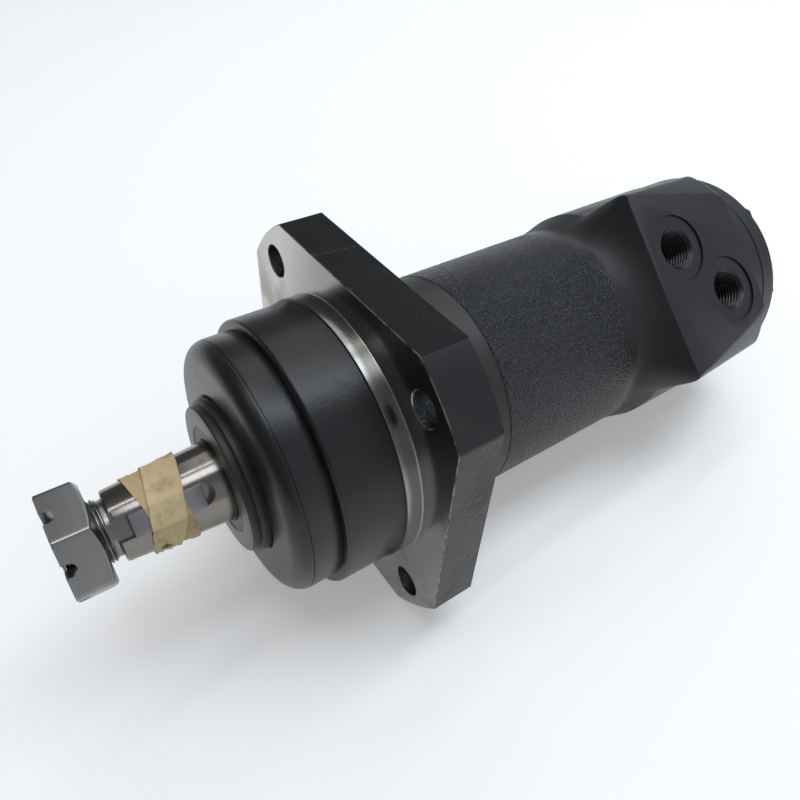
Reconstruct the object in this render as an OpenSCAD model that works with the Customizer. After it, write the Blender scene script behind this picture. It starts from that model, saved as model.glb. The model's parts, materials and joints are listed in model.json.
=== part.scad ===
// Orbital hydraulic motor with a square wheel-mount flange and a tapered shaft.
// X is the shaft's axis and the shaft points to -X. The origin is the pilot's centre on the flange face.

/* [Flange] */
// Side of the square flange
flange_side = 155.5; // [150:0.5:160]
// Circle on which the flange's corners are turned
flange_corner_d = 186; // [182:1:192]
// Thickness of the flange
flange_t = 21.5; // [18:0.5:25]
// Diameter of the pilot that centres the motor
pilot_d = 125; // [124.5:0.1:126]
// Length of the pilot
pilot_len = 8; // [6:0.5:9]
// Diameter of the circle through the flange holes
bolt_circle_d = 160; // [156:1:164]
// Diameter of the flange holes
bolt_hole_d = 15; // [13:0.5:17]

/* [Housing] */
// Diameter of the bearing drum
drum_d = 123; // [120:0.5:124]
// Distance from the flange face to the drum's front
drum_len = 34.5; // [34:0.1:35]
// Diameter of the rough cast body
body_d = 109.2; // [106:0.2:112]
// Diameter of the turned band behind the flange
band_d = 108.4; // [105:0.2:109]
// Distance from the flange face to the end of the turned band
band_end = 54; // [45:1:60]
// Distance from the flange face to the housing's rear face
housing_len = 221; // [219:0.5:224]

/* [Port block] */
// Diameter of the round part of the port block
block_d = 117; // [114:0.5:120]
// Height of the port face over the shaft's axis
port_face_h = 62; // [60:0.5:63]
// Width of the port block between its sides
port_face_w = 98; // [92:1:100]
// Circle that trims the corners of the port face at its front edge
block_corner_d = 156; // [152:1:158]
// The same circle at the rear of the block, which tapers as a casting does
block_back_d = 141; // [140:1:146]
// Where the block starts to rise from the body
block_rise = 137; // [130:1:142]
// Front edge of the port face
block_front = 156; // [152:0.5:158]
// Turn of the port face from straight up
port_turn = 42; // [38:1:46]
// Place of the front port along the shaft
port_a_x = 175.5; // [174:0.5:177]
// Place of the rear port along the shaft
port_b_x = 200; // [199:0.5:201]
// Half the distance between the ports across the face
port_half_gap = 14.6; // [14:0.1:15.5]
// Tapping diameter of the ports
port_bore_d = 18.9; // [18.6:0.1:19.2]
// Diameter of the spot face round a port
spot_face_d = 34; // [30:0.5:35]

/* [Front cap] */
// Diameter of the front cap
cap_d = 115; // [112:0.5:118]
// Distance from the flange face to the front of the cap
cap_front = 54.5; // [54:0.1:55]
// Radius of the cap's rounded edge
cap_edge_r = 8; // [6:0.5:9]

/* [Shaft] */
// Diameter of the taper at its small end
taper_small_d = 30.4; // [30:0.1:31]
// Taper, as length for each millimetre of diameter
taper_ratio = 8; // [8:0.5:10]
// Distance from the flange face to the taper's small end
taper_front = 105.5; // [104:0.5:107]
// Distance from the flange face to the taper's big end
taper_back = 61.5; // [61:0.1:62]
// Diameter of the shaft's thread
thread_d = 27; // [26:0.1:28]
// Distance from the flange face to the end of the thread
thread_end = 126.5; // [125:0.5:129]
// Width of the key
key_w = 9.5; // [8:0.1:10]
// Length of the key
key_len = 28.5; // [26:0.5:30]
// Turn of the key about the shaft, from +Y
key_turn = 140; // [130:1:150]
// Width across the flats of the slotted nut
nut_af = 42; // [40:0.5:43]
// Height of the slotted nut
nut_h = 15.5; // [14.5:0.5:16.5]

/* [Gear set] */
// Radius of the circle through the ring's lobe centres
lobe_circle_r = 36.5; // [36:0.1:37]
// Radius of each lobe of the ring
lobe_r = 10.5; // [10:0.1:11]
// Distance between the centres of the ring and the rotor
orbit_r = 3.5; // [3.2:0.1:3.7]
// Width of the gear set
gear_w = 12; // [11.5:0.1:12.5]
// Thickness of the spacer plate
plate_t = 4; // [3.5:0.1:4.5]
// Thickness of the end cover
cover_t = 12; // [11:0.5:14]
// Diameter of the plate, the ring and the cover
stack_d = 116; // [114:0.5:117]
// Circle through the cover screws
screw_circle_d = 94; // [93:0.5:96]

/* [Hidden] */
$fn = 96;

// Colours of the finishes
paint_black = [0.07, 0.07, 0.075];
cast_black = [0.1, 0.1, 0.105];
bare_steel = [0.62, 0.61, 0.59];
dark_steel = [0.4, 0.4, 0.42];
tape_beige = [0.8, 0.73, 0.58];
seal_black = [0.05, 0.05, 0.05];
zinc_grey = [0.7, 0.7, 0.68];
cut = 0.5;              // how far a cutting shape runs past the face that it opens
run_gap = 0.03;         // radial clearance of the spool in its bore
lip_gap = 0.04;         // radial clearance of a seal lip

// Stations along the shaft
shoulder_x = 27.75;     // rear wall of the bearing bore
cup_front_x = -29.75;   // front of the front bearing cup
collar_front_x = -8;    // front of the collar between the bearings
collar_back_x = 6;      // rear of the same collar
spool_x = 115;          // front of the spool
spool_end_x = 216;      // rear of the spool
plate_x = housing_len;
gear_x = plate_x + plate_t;
cover_x = gear_x + gear_w;
end_x = cover_x + cover_t;

// Radii inside the housing
bearing_bore_r = 45;
cavity_r = 27;
spool_r = 21;
land_r = 20;            // shaft under the seals
seat_r = 25;            // shaft under the bearings

// Gear set: the lobes of the ring stand at lobe_turn and every seventh of a turn from there
lobes = 7;
lobe_turn = 9;
valley_r = lobe_circle_r + 2 * orbit_r - lobe_r;
gear_gap = 0.08;        // clearance between the rotor and the ring's lobes
side_gap = 0.05;        // clearance on each side of the rotor
rotor_steps = 192;      // points round the rotor's outline
valley_share = 0.85;    // how much closer the points stand in the rotor's valleys

// Splines of the drive link
teeth = 12;
tooth_w = 2.5;
space_w = 3.2;
core_r = 10;            // bottom of the link's teeth
tip_r = 11.7;           // top of the link's teeth
bore_tip_r = 10.45;     // top of the teeth round the link
bore_root_r = 12.2;     // bottom of those teeth
head_len = 8;           // length of each splined head
front_head_x = 155;     // middle of the front head, on the shaft's axis
rear_head_x = gear_x + 4;
tilt = atan2(orbit_r, rear_head_x - front_head_x);

// Passages in the housing
gallery_r = 30.5;       // circle through the seven passages to the gear set
annulus_w = 7;
drain_x = 90;
drain_flat_h = 53;

// Places a 2D outline in the plane across the shaft, and runs its height along +X
module along(x = 0) translate([x, 0, 0]) rotate([90, 0, 90]) children();

// Revolves a list of [station, radius] points round the shaft's axis
module turned(points) along() rotate_extrude() polygon([for (p = points) [p[1], p[0]]]);

// Cylinder along the shaft from one station to another
module bar(from, to, r) along(from) cylinder(h = to - from, r = r);

// Ring of copies round the shaft, the first at the angle start from +Y
module ring_of(count, start = 0)
    for (i = [0 : count - 1]) rotate([start + i * 360 / count, 0, 0]) children();

// Ring with a round section
module o_ring(x, r, section_r) along(x) rotate_extrude() translate([r, 0]) circle(r = section_r, $fn = 24);

// Outline of the port block across the shaft, with the port face at the top
module block_outline() {
    circle(d = block_d);
    translate([-port_face_w / 2, 0]) square([port_face_w, port_face_h]);
}

// Distance from the axis to the block's outline at an angle from the port face's normal
function block_reach(a) =
    let (c = cos(a), s = abs(sin(a)),
         flat = c > 0 ? min(port_face_h / c, port_face_w / 2 / max(s, 0.001), block_corner_d / 2) : 0)
    max(block_d / 2, flat);

// Rise from the round body to the port block: hollow in the middle and nearly straight at the corners
rise_rings = 8;
rise_sides = 100;
function rise_share(t, a) = pow(t, 1.2 + 1.2 * pow(max(cos(a), 0), 6));
module block_rise_shape() {
    start_r = body_d / 2 - 0.4;
    span = block_front - block_rise;
    inset = 0.3;
    points = [for (i = [0 : rise_rings], j = [0 : rise_sides - 1])
        let (t = i / rise_rings, a = j * 360 / rise_sides,
             r = start_r + (block_reach(a) - inset - start_r) * rise_share(t, a))
        [block_rise + t * span, -r * sin(a), r * cos(a)]];
    ahead = [for (j = [0 : rise_sides - 1]) j];
    behind = [for (j = [rise_sides - 1 : -1 : 0]) rise_rings * rise_sides + j];
    sides = [for (i = [0 : rise_rings - 1], j = [0 : rise_sides - 1])
        let (k = (j + 1) % rise_sides, a = i * rise_sides, b = a + rise_sides)
        [a + j, b + j, b + k, a + k]];
    polyhedron(points = points, faces = concat([ahead, behind], sides), convexity = 4);
}

// Square flange with its corners turned on a circle
module flange_plate() {
    edge = 0.8;
    intersection() {
        translate([0, -flange_side / 2, -flange_side / 2]) cube([flange_t, flange_side, flange_side]);
        turned([[0, 0], [0, flange_corner_d / 2 - edge], [edge, flange_corner_d / 2],
            [flange_t - edge, flange_corner_d / 2], [flange_t, flange_corner_d / 2 - edge], [flange_t, 0]]);
    }
}

// Outside of the housing before it is bored
module housing_outside() {
    drum_edge = 1.6;
    flare_len = 5;
    block_edge = 5;
    turned([[-drum_len, 0], [-drum_len, drum_d / 2 - drum_edge], [-drum_len + drum_edge, drum_d / 2],
        [-pilot_len - flare_len, drum_d / 2], [-pilot_len, pilot_d / 2 - 0.7], [-pilot_len, pilot_d / 2 - 0.4],
        [-pilot_len + 0.6, pilot_d / 2], [1, pilot_d / 2], [1, 0]]);
    flange_plate();
    turned([[flange_t - 1, 0], [flange_t - 1, band_d / 2 + 3], [flange_t, band_d / 2 + 3],
        [flange_t + 3, band_d / 2], [band_end, band_d / 2], [band_end + 1, body_d / 2],
        [block_front, body_d / 2], [block_front, 0]]);
    rotate([port_turn, 0, 0]) block_rise_shape();
    rotate([port_turn, 0, 0]) intersection() {
        along(block_front) linear_extrude(housing_len - block_front) block_outline();
        turned(concat(
            [[block_front, 0], [block_front, block_corner_d / 2]],
            [for (a = [0 : 15 : 90]) [housing_len - block_edge * (1 - sin(a)),
                block_back_d / 2 - block_edge * (1 - cos(a))]],
            [[housing_len, 0]]));
    }
}

// Port bore with its spot face, chamfer and the drilling down to the spool
module port_hole(x, across) {
    thread_len = 16;
    drill_r = 5.5;
    rim = 1.2;
    rotate([port_turn, 0, 0]) translate([x, across, 0]) {
        translate([0, 0, port_face_h - 0.8]) cylinder(h = 3, d = spot_face_d);
        translate([0, 0, port_face_h - thread_len]) cylinder(h = thread_len + 1, d = port_bore_d);
        translate([0, 0, port_face_h - 0.8 - rim])
            cylinder(h = rim + 0.01, d1 = port_bore_d, d2 = port_bore_d + 2 * rim);
        translate([0, 0, spool_r]) cylinder(h = port_face_h - spool_r - 8, r = drill_r);
    }
}

// Housing: drum, pilot, flange, body and port block in one casting
module housing() color(cast_black) {
    bolt_at = bolt_circle_d / 2;
    rim = 0.8;
    screw_r = 4;
    difference() {
        housing_outside();
        bar(-drum_len - cut, shoulder_x, bearing_bore_r);
        bar(shoulder_x - 1, shoulder_x + 4, 37);
        bar(shoulder_x, spool_x - 3, cavity_r);
        bar(spool_x - 4, housing_len + cut, spool_r + run_gap);
        for (x = [port_a_x, port_b_x]) bar(x - annulus_w / 2, x + annulus_w / 2, spool_r + 4);
        ring_of(4, 45) translate([0, bolt_at, 0]) {
            along(-cut) cylinder(h = flange_t + 2 * cut, d = bolt_hole_d);
            along(-0.01) cylinder(h = rim, d1 = bolt_hole_d + 2 * rim, d2 = bolt_hole_d);
        }
        port_hole(port_a_x, port_half_gap);
        port_hole(port_b_x, -port_half_gap);
        ring_of(lobes, lobe_turn + 180 / lobes) {
            gallery_x = (port_a_x + port_b_x) / 2;
            translate([0, gallery_r, 0]) bar(gallery_x - 2.5, housing_len + cut, 3);
            translate([gallery_x, spool_r - 1, 0]) rotate([-90, 0, 0])
                cylinder(h = gallery_r - spool_r + 1, r = 2.5);
        }
        ring_of(lobes, lobe_turn) translate([0, screw_circle_d / 2, 0])
            bar(housing_len - 15, housing_len + cut, screw_r);
        seal_groove(housing_len, -1);
        drain_hole();
    }
}

// Round groove for a seal ring in a face across the shaft, cut towards the side of sign
seal_ring_r = 37.8;
seal_section_r = 0.95;
module seal_groove(x, side) {
    w = 2.2;
    depth = 2;
    from = side > 0 ? x : x - depth;
    along(from) difference() {
        cylinder(h = depth, r = seal_ring_r + w / 2);
        translate([0, 0, -cut]) cylinder(h = depth + 2 * cut, r = seal_ring_r - w / 2);
    }
}

// Drain boring on the side that faces away from the ports
module drain_hole() rotate([180 + port_turn, 0, 0]) translate([drain_x, 0, 0]) {
    translate([0, 0, drain_flat_h]) cylinder(h = 5, r = 11);
    translate([0, 0, 20]) cylinder(h = 40, r = 5.7);
}

// Front cap: seal bores in front, spigot in the drum behind
module front_cap() color(paint_black) {
    r = cap_d / 2;
    arc_steps = 12;
    e = cap_edge_r;
    difference() {
        turned(concat(
            [[-cap_front, 0], [-cap_front, 37], [-cap_front + 0.6, r - e]],
            [for (i = [1 : arc_steps]) let (a = i * 90 / arc_steps)
                [-cap_front + 0.6 + e * (1 - cos(a)), r - e + e * sin(a)]],
            [[-drum_len - 1.2, r], [-drum_len, r - 1.2], [-drum_len, bearing_bore_r],
             [cup_front_x - 0.5, bearing_bore_r], [cup_front_x - 0.5, 0]]));
        bar(-cap_front - cut, -cap_front + 3, 34.5);
        turned([[-cap_front - 0.01, 0], [-cap_front - 0.01, 36], [-cap_front + 1.5, 34.4],
            [-cap_front + 1.5, 0]]);
        bar(-cap_front - cut, -42, 31);
        bar(-43, -39, 26);
        bar(-40, cup_front_x, 38);
        along(-33.4) difference() {
            cylinder(h = 2.6, r = bearing_bore_r + 1);
            translate([0, 0, -cut]) cylinder(h = 4, r = 42.9);
        }
    }
}

// O-ring in the cap's spigot
module cap_o_ring() color(seal_black) o_ring(-32.1, 43.95, 1.0);

// Shim between the cap and the front bearing
module preload_shim() color(bare_steel) difference() {
    bar(cup_front_x - 0.5, cup_front_x, bearing_bore_r - 0.1);
    bar(cup_front_x - 2, cup_front_x + 2, 38.5);
}

// Case of the dust seal: a stepped disc that stands out of the cap
dust_step_x = -57.8;
module dust_seal_case() color(zinc_grey) turned([
    [-taper_back, 24], [-taper_back, 32.4], [-taper_back + 0.6, 33], [dust_step_x, 33],
    [dust_step_x, 34.2], [dust_step_x + 0.3, 34.5], [-cap_front + 3, 34.5], [-cap_front + 3, 24]]);

// Rubber lip of the dust seal
module dust_seal_lip() color(seal_black) {
    r = taper_big_r + lip_gap;
    turned([[-taper_back + 0.4, 24], [-taper_back + 0.4, r + 0.9], [-taper_back + 1.6, r],
        [-taper_back + 2.6, r], [-taper_back + 4.5, r + 2], [-cap_front + 2, r + 3.2],
        [-cap_front + 2, 24]]);
}

// Shaft seal with its lip on the land
module shaft_seal() color(seal_black) {
    r = land_r + lip_gap;
    turned([[-51.5, 21.5], [-51.5, 31], [-43.5, 31], [-43.5, 27.5], [-49, 27.5], [-49, 24.3],
        [-47.2, 23.2], [-45.2, 23.6], [-44.6, 22.6], [-46.4, r], [-47, r], [-49.6, r + 1]]);
}

// Garter spring of the shaft seal
module seal_spring() color(bare_steel) o_ring(-46.1, 24.3, 0.7);

// Steel ring that backs the shaft seal
module seal_backup_ring() color(bare_steel) difference() {
    bar(-43.5, -42, 31);
    bar(-44, -41, land_r + 0.6);
}

// Tapered roller bearing: its raceways and roller axis meet at one point on the shaft's axis
roller_turn = 13.6;
roller_half_turn = 2;
race_turn_out = roller_turn + roller_half_turn;
race_turn_in = roller_turn - roller_half_turn;
race_mid_x = -19;
race_apex = 143.8;
rollers = 17;
roller_len = 13;
roller_gap = 0.02;
function race_r(x, turn) = (x - race_mid_x + race_apex) * tan(turn);

module bearing_cup() color(bare_steel) {
    a = cup_front_x;
    b = -12.75;
    turned([[a, race_r(a, race_turn_out)], [b, race_r(b, race_turn_out)], [b, bearing_bore_r - 0.6],
        [b - 0.6, bearing_bore_r], [a + 0.6, bearing_bore_r], [a, bearing_bore_r - 0.6]]);
}

module bearing_cone() color(bare_steel) {
    back = collar_front_x;
    front = back - 20;
    race_a = race_mid_x - 5.4;
    race_b = race_mid_x + 7.7;
    turned([[front, seat_r], [front, 29.3], [race_a, 29.3], [race_a, race_r(race_a, race_turn_in)],
        [race_b, race_r(race_b, race_turn_in)], [race_b, 33.6], [back, 33.6], [back, seat_r]]);
}

module bearing_rollers() color(bare_steel) {
    mid_r = race_apex * tan(roller_turn);
    reach = race_apex / cos(roller_turn);
    small = (reach - roller_len / 2) * tan(roller_half_turn) - roller_gap;
    big = (reach + roller_len / 2) * tan(roller_half_turn) - roller_gap;
    ring_of(rollers) translate([race_mid_x, mid_r, 0]) rotate([0, 0, roller_turn]) rotate([0, 90, 0])
        translate([0, 0, -roller_len / 2]) cylinder(h = roller_len, r1 = small, r2 = big, $fn = 32);
}

module bearing_cage() color(dark_steel) {
    mid_r = race_apex * tan(roller_turn);
    a = race_mid_x - 9.2;
    b = race_mid_x + 8.4;
    low = 0.3;
    high = 1.6;
    window = [roller_len + 0.5, 14, 11];
    difference() {
        turned([[a, race_r(a, roller_turn) + low], [b, race_r(b, roller_turn) + low],
            [b, race_r(b, roller_turn) + high], [a, race_r(a, roller_turn) + high]]);
        ring_of(rollers) translate([race_mid_x, mid_r, 0]) rotate([0, 0, roller_turn])
            cube(window, center = true);
    }
}

// The rear bearing is the front one seen in a mirror across the collar
module rear_side() translate([collar_front_x + collar_back_x, 0, 0]) mirror([1, 0, 0]) children();

module front_bearing_cup() bearing_cup();
module front_bearing_cone() bearing_cone();
module front_bearing_rollers() bearing_rollers();
module front_bearing_cage() bearing_cage();
module rear_bearing_cup() rear_side() bearing_cup();
module rear_bearing_cone() rear_side() bearing_cone();
module rear_bearing_rollers() rear_side() bearing_rollers();
module rear_bearing_cage() rear_side() bearing_cage();

// Output shaft: thread, taper, seal land, bearing seats and the hollow spool
taper_big_r = taper_small_d / 2 + (taper_front - taper_back) / taper_ratio / 2;
key_floor = 11.6;       // height of the keyway's floor over the axis
keyway_end = -67;
spool_bore_r = 15;
nut_slot_turn = 33;     // turn of the nut's first slot, and of the cross hole in the shaft, from +Y
module output_shaft() color(bare_steel) {
    slot_w = 5;
    slot_depth = 3;
    slot_mid = (port_a_x + port_b_x) / 2;
    difference() {
        turned([[-thread_end, 0], [-thread_end, thread_d / 2 - 1.5], [-thread_end + 1.5, thread_d / 2],
            [-taper_front - 2.5, thread_d / 2], [-taper_front - 2, 12], [-taper_front, 12],
            [-taper_front, taper_small_d / 2 - 0.5], [-taper_front + 0.5, taper_small_d / 2],
            [-taper_back, taper_big_r], [-54, taper_big_r], [-53.4, land_r], [-37, land_r],
            [-36, 24.5], [-28, 24.5], [-28, seat_r], [collar_front_x, seat_r], [collar_front_x, 29.5],
            [collar_back_x, 29.5], [collar_back_x, seat_r], [26, seat_r], [26, 24.5], [30, 24.5],
            [36, 19], [spool_x - 6, 19], [spool_x, spool_r - 0.5], [spool_x + 0.5, spool_r],
            [spool_end_x - 1, spool_r], [spool_end_x, spool_r - 1], [spool_end_x, 0]]);
        rotate([key_turn, 0, 0]) keyway_cut();
        shaft_end_holes();
        bar(front_head_x + head_len / 2 + 1.5, spool_end_x + cut, spool_bore_r);
        bar(front_head_x - head_len / 2 - 3, front_head_x + head_len, bore_root_r + 0.4);
        for (x = [port_a_x, port_b_x]) spool_groove(x);
        ring_of(6, lobe_turn) spool_slot(port_a_x, slot_mid + 3.4, slot_w, slot_depth);
        ring_of(6, lobe_turn + 30) spool_slot(slot_mid - 3.4, port_b_x, slot_w, slot_depth);
    }
    link_socket(front_head_x - head_len / 2 - 1, front_head_x + head_len / 2 + 1, bore_root_r + 0.6);
}

// Keyway for the flat key, open at the small end and round at the big end
module keyway_cut() {
    w = key_w + 0.1;
    from = -taper_front - 2;
    translate([from, key_floor, -w / 2]) cube([keyway_end - w / 2 - from, 20, w]);
    translate([keyway_end - w / 2, key_floor, 0]) rotate([-90, 0, 0]) cylinder(h = 20, d = w);
}

// Centre hole for the lathe, and the cross hole for the nut's split pin
module shaft_end_holes() {
    x = -thread_end;
    turned([[x - cut, 0], [x - cut, 4.2], [x, 4], [x + 4.2, 1.6], [x + 9, 1.6], [x + 10, 0]]);
    rotate([nut_slot_turn, 0, 0]) translate([x + 2.6, -20, 0]) rotate([-90, 0, 0]) cylinder(h = 40, r = 2);
}

module spool_groove(x) along(x - annulus_w / 2) difference() {
    cylinder(h = annulus_w, r = spool_r + cut);
    translate([0, 0, -cut]) cylinder(h = annulus_w + 2 * cut, r = spool_r - 3);
}

module spool_slot(from, to, w, depth)
    translate([from, spool_r - depth, -w / 2]) cube([to - from, depth + cut, w]);

// Ring of inward teeth that takes one head of the drive link
module link_socket(from, to, outer_r) along(from) difference() {
    cylinder(h = to - from, r = outer_r);
    translate([0, 0, -cut]) linear_extrude(to - from + 2 * cut) socket_outline();
}

module socket_outline() {
    circle(r = bore_tip_r);
    for (i = [0 : teeth - 1]) rotate(i * 360 / teeth) translate([0, -space_w / 2])
        square([bore_root_r, space_w]);
}

// Key in the taper
module shaft_key() color(dark_steel) rotate([key_turn, 0, 0]) {
    translate([-100, key_floor, -key_w / 2]) cube([key_len, key_top - key_floor, key_w]);
}

// Slotted nut: six flats, chamfered at both ends, with six slots at the outer end
module castle_nut() color(bare_steel) {
    x = -thread_end;
    corner_r = nut_af / 2 / cos(30);
    slot_w = 5.5;
    slot_depth = 4.8;
    front_bevel = 0.7;
    bevel = 2.2;
    difference() {
        intersection() {
            along(x) rotate(3) cylinder(h = nut_h, r = corner_r, $fn = 6);
            turned([[x, 0], [x, corner_r - 0.9], [x + front_bevel, corner_r + 0.4],
                [x + nut_h - bevel, corner_r + 0.4], [x + nut_h, nut_af / 2 - 0.6], [x + nut_h, 0]]);
        }
        bar(x - cut, x + nut_h + cut, thread_d / 2);
        ring_of(6, nut_slot_turn) translate([x + slot_depth - slot_w / 2, 0, 0]) rotate([-90, 0, 0])
            linear_extrude(30) slot_outline(slot_w, slot_depth + cut);
    }
}

// U-shaped outline of a slot, its round bottom towards +x
module slot_outline(w, depth) {
    arc_steps = 10;
    polygon(concat([[w / 2 - depth, -w / 2]],
        [for (i = [0 : arc_steps]) let (a = -90 + i * 180 / arc_steps) w / 2 * [cos(a), sin(a)]],
        [[w / 2 - depth, w / 2]]));
}

// Masking tape stretched round the taper and over the key
key_top = 18.6;         // height of the key over the axis
tape_front = -96;
tape_back = -77;
module masking_tape() color(tape_beige) difference() {
    tape_wrap(tape_front, tape_back, 0.8);
    tape_wrap(tape_front - 1, tape_back + 1, 0.04);
}

// Solid that stands proud of the taper and the key by t
module tape_wrap(from, to, t) hull() for (x = [from, to]) {
    along(x) cylinder(h = 0.01, r = taper_r(x) + t, $fn = 72);
    rotate([key_turn, 0, 0]) translate([x, 0, -key_w / 2 - t]) cube([0.01, key_top + t, key_w + 2 * t]);
}
function taper_r(x) = taper_small_d / 2 + (x + taper_front) / taper_ratio / 2;

// Turns a shape of the gear set so that its +Y points at the first lobe
module gear_frame() rotate([lobe_turn, 0, 0]) children();

// Drive link: a splined head on the shaft's axis and one on the rotor's, with a waisted bar between
module drive_link() color(dark_steel) gear_frame() translate([front_head_x, 0, 0]) rotate([0, 0, tilt]) {
    reach = norm([rear_head_x - front_head_x, orbit_r]);
    half = head_len / 2;
    waist_r = 7.5;
    for (x = [0, reach]) link_head(x);
    turned([[half - 1, 0], [half - 1, core_r - 0.5], [half + 4, waist_r], [reach - half - 4, waist_r],
        [reach - half + 1, core_r - 0.5], [reach - half + 1, 0]]);
}

// One splined head, its teeth rounded off towards both ends; the teeth stand where the shaft's spaces do
module link_head(x) intersection() {
    along(x - head_len / 2) linear_extrude(head_len) rotate(-lobe_turn) {
        circle(r = core_r);
        for (i = [0 : teeth - 1]) rotate(i * 360 / teeth) translate([0, -tooth_w / 2])
            square([tip_r, tooth_w]);
    }
    turned([[x - head_len / 2, 0], [x - head_len / 2, tip_r - 0.8], [x - 1, tip_r + 0.2],
        [x + 1, tip_r + 0.2], [x + head_len / 2, tip_r - 0.8], [x + head_len / 2, 0]]);
}

// Spacer disc behind the drive link, inside the rotor
module drive_spacer() color(bare_steel) gear_frame() translate([0, orbit_r, 0])
    bar(cover_x - 3.4, cover_x - 0.3, 9.6);

// Passages and screw holes that the plate, the ring and the cover share
screw_hole_r = 4.5;
pin_r = 3;
pin_turn = lobe_turn + 180 / lobes;
module stack_holes(from, to) {
    ring_of(lobes, lobe_turn) translate([0, screw_circle_d / 2, 0]) bar(from, to, screw_hole_r);
    pin_places() bar(from, to, pin_r);
}
module pin_places() for (k = [0, 3]) rotate([pin_turn + k * 360 / lobes, 0, 0])
    translate([0, screw_circle_d / 2, 0]) children();

module stack_disc(from, t) turned([[from, 0], [from, stack_d / 2 - 0.6], [from + 0.6, stack_d / 2],
    [from + t - 0.6, stack_d / 2], [from + t, stack_d / 2 - 0.6], [from + t, 0]]);

module spacer_plate() color(dark_steel) difference() {
    stack_disc(plate_x, plate_t);
    bar(plate_x - cut, gear_x + cut, 16);
    ring_of(lobes, pin_turn) translate([0, gallery_r, 0]) bar(plate_x - cut, gear_x + cut, 3);
    stack_holes(plate_x - cut, gear_x + cut);
}

module gear_ring() color(dark_steel) difference() {
    stack_disc(gear_x, gear_w);
    along(gear_x - cut) linear_extrude(gear_w + 2 * cut) rotate(lobe_turn) ring_opening();
    stack_holes(gear_x - cut, cover_x + cut);
    seal_groove(gear_x, 1);
    seal_groove(cover_x, -1);
}

// Opening of the ring: a circle less its seven lobes
module ring_opening() difference() {
    circle(r = valley_r);
    for (i = [0 : lobes - 1]) rotate(i * 360 / lobes) translate([lobe_circle_r, 0]) circle(r = lobe_r);
}

// Path of a lobe's centre as the rotor sees it, and the rotor's outline one lobe radius inside it
function lobe_path(a) = [lobe_circle_r * cos(a) - orbit_r * cos(lobes * a),
    lobe_circle_r * sin(a) - orbit_r * sin(lobes * a)];
function lobe_way(a) = [-lobe_circle_r * sin(a) + lobes * orbit_r * sin(lobes * a),
    lobe_circle_r * cos(a) - lobes * orbit_r * cos(lobes * a)];
function rotor_point(a) = let (p = lobe_path(a), d = lobe_way(a), n = [d[1], -d[0]] / norm(d))
    p - (lobe_r + gear_gap) * n;

// Angle along the path for an even step s, so that the narrow valleys get as many points as the crests
function rotor_angle(s) = let (crests = lobes - 1) s - valley_share * sin(crests * s) * 180 / PI / crests;

module gear_rotor() color(dark_steel) gear_frame() translate([0, orbit_r, 0])
    along(gear_x + side_gap) linear_extrude(gear_w - 2 * side_gap) difference() {
        polygon([for (i = [0 : rotor_steps - 1]) rotor_point(rotor_angle(i * 360 / rotor_steps))]);
        rotate(-lobe_turn) socket_outline();
    }

module end_cover() color(cast_black) difference() {
    edge = 2.5;
    turned([[cover_x, 0], [cover_x, stack_d / 2 - 0.6], [cover_x + 0.6, stack_d / 2],
        [end_x - edge, stack_d / 2], [end_x, stack_d / 2 - edge], [end_x, 0]]);
    ring_of(lobes, lobe_turn) translate([0, screw_circle_d / 2, 0]) {
        bar(cover_x - cut, end_x + cut, screw_hole_r);
        bar(end_x - 0.8, end_x + cut, 8.2);
    }
    pin_places() bar(cover_x - cut, cover_x + 6, pin_r);
}

// Cover screws with hexagon heads
module cover_screws() color(dark_steel) {
    head_h = 5.3;
    head_r = 13 / 2 / cos(30);
    seat = end_x - 0.8 + 1.6;
    ring_of(lobes, lobe_turn) translate([0, screw_circle_d / 2, 0]) {
        bar(housing_len - 14, seat + 1, 4);
        intersection() {
            along(seat) cylinder(h = head_h, r = head_r, $fn = 6);
            turned([[seat, 0], [seat, head_r + 0.1], [seat + head_h - 1.2, head_r + 0.1],
                [seat + head_h, 6.2], [seat + head_h, 0]]);
        }
    }
}

module screw_washers() color(zinc_grey) ring_of(lobes, lobe_turn)
    translate([0, screw_circle_d / 2, 0]) difference() {
        bar(end_x - 0.8, end_x + 0.8, 7.8);
        bar(end_x - 2, end_x + 2, 4.2);
    }

// Seal rings of the rear stack, each in a groove
module housing_seal_ring() color(seal_black) o_ring(housing_len - 1, seal_ring_r, seal_section_r);
module plate_seal_ring() color(seal_black) o_ring(gear_x + 1, seal_ring_r, seal_section_r);
module cover_seal_ring() color(seal_black) o_ring(cover_x - 1, seal_ring_r, seal_section_r);

module locating_pins() color(bare_steel) pin_places() bar(plate_x, cover_x + 5.5, pin_r);

// Drain plug with a hexagon head, and its washer
module drain_plug() color(zinc_grey) rotate([180 + port_turn, 0, 0]) translate([drain_x, 0, drain_flat_h]) {
    translate([0, 0, -9]) cylinder(h = 11, r = 5.7);
    translate([0, 0, 1.5]) cylinder(h = 2.5, r = 9);
    translate([0, 0, 3.9]) cylinder(h = 5.5, r = 8, $fn = 6);
}

module drain_washer() color([0.72, 0.45, 0.2]) rotate([180 + port_turn, 0, 0])
    translate([drain_x, 0, drain_flat_h]) difference() {
        cylinder(h = 1.5, r = 9);
        translate([0, 0, -cut]) cylinder(h = 3, r = 5.9);
    }

housing();
front_cap();
cap_o_ring();
preload_shim();
dust_seal_case();
dust_seal_lip();
shaft_seal();
seal_spring();
seal_backup_ring();
front_bearing_cup();
front_bearing_cone();
front_bearing_rollers();
front_bearing_cage();
rear_bearing_cup();
rear_bearing_cone();
rear_bearing_rollers();
rear_bearing_cage();
output_shaft();
shaft_key();
castle_nut();
masking_tape();
drive_link();
drive_spacer();
spacer_plate();
gear_ring();
gear_rotor();
end_cover();
cover_screws();
screw_washers();
housing_seal_ring();
plate_seal_ring();
cover_seal_ring();
locating_pins();
drain_plug();
drain_washer();
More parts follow.
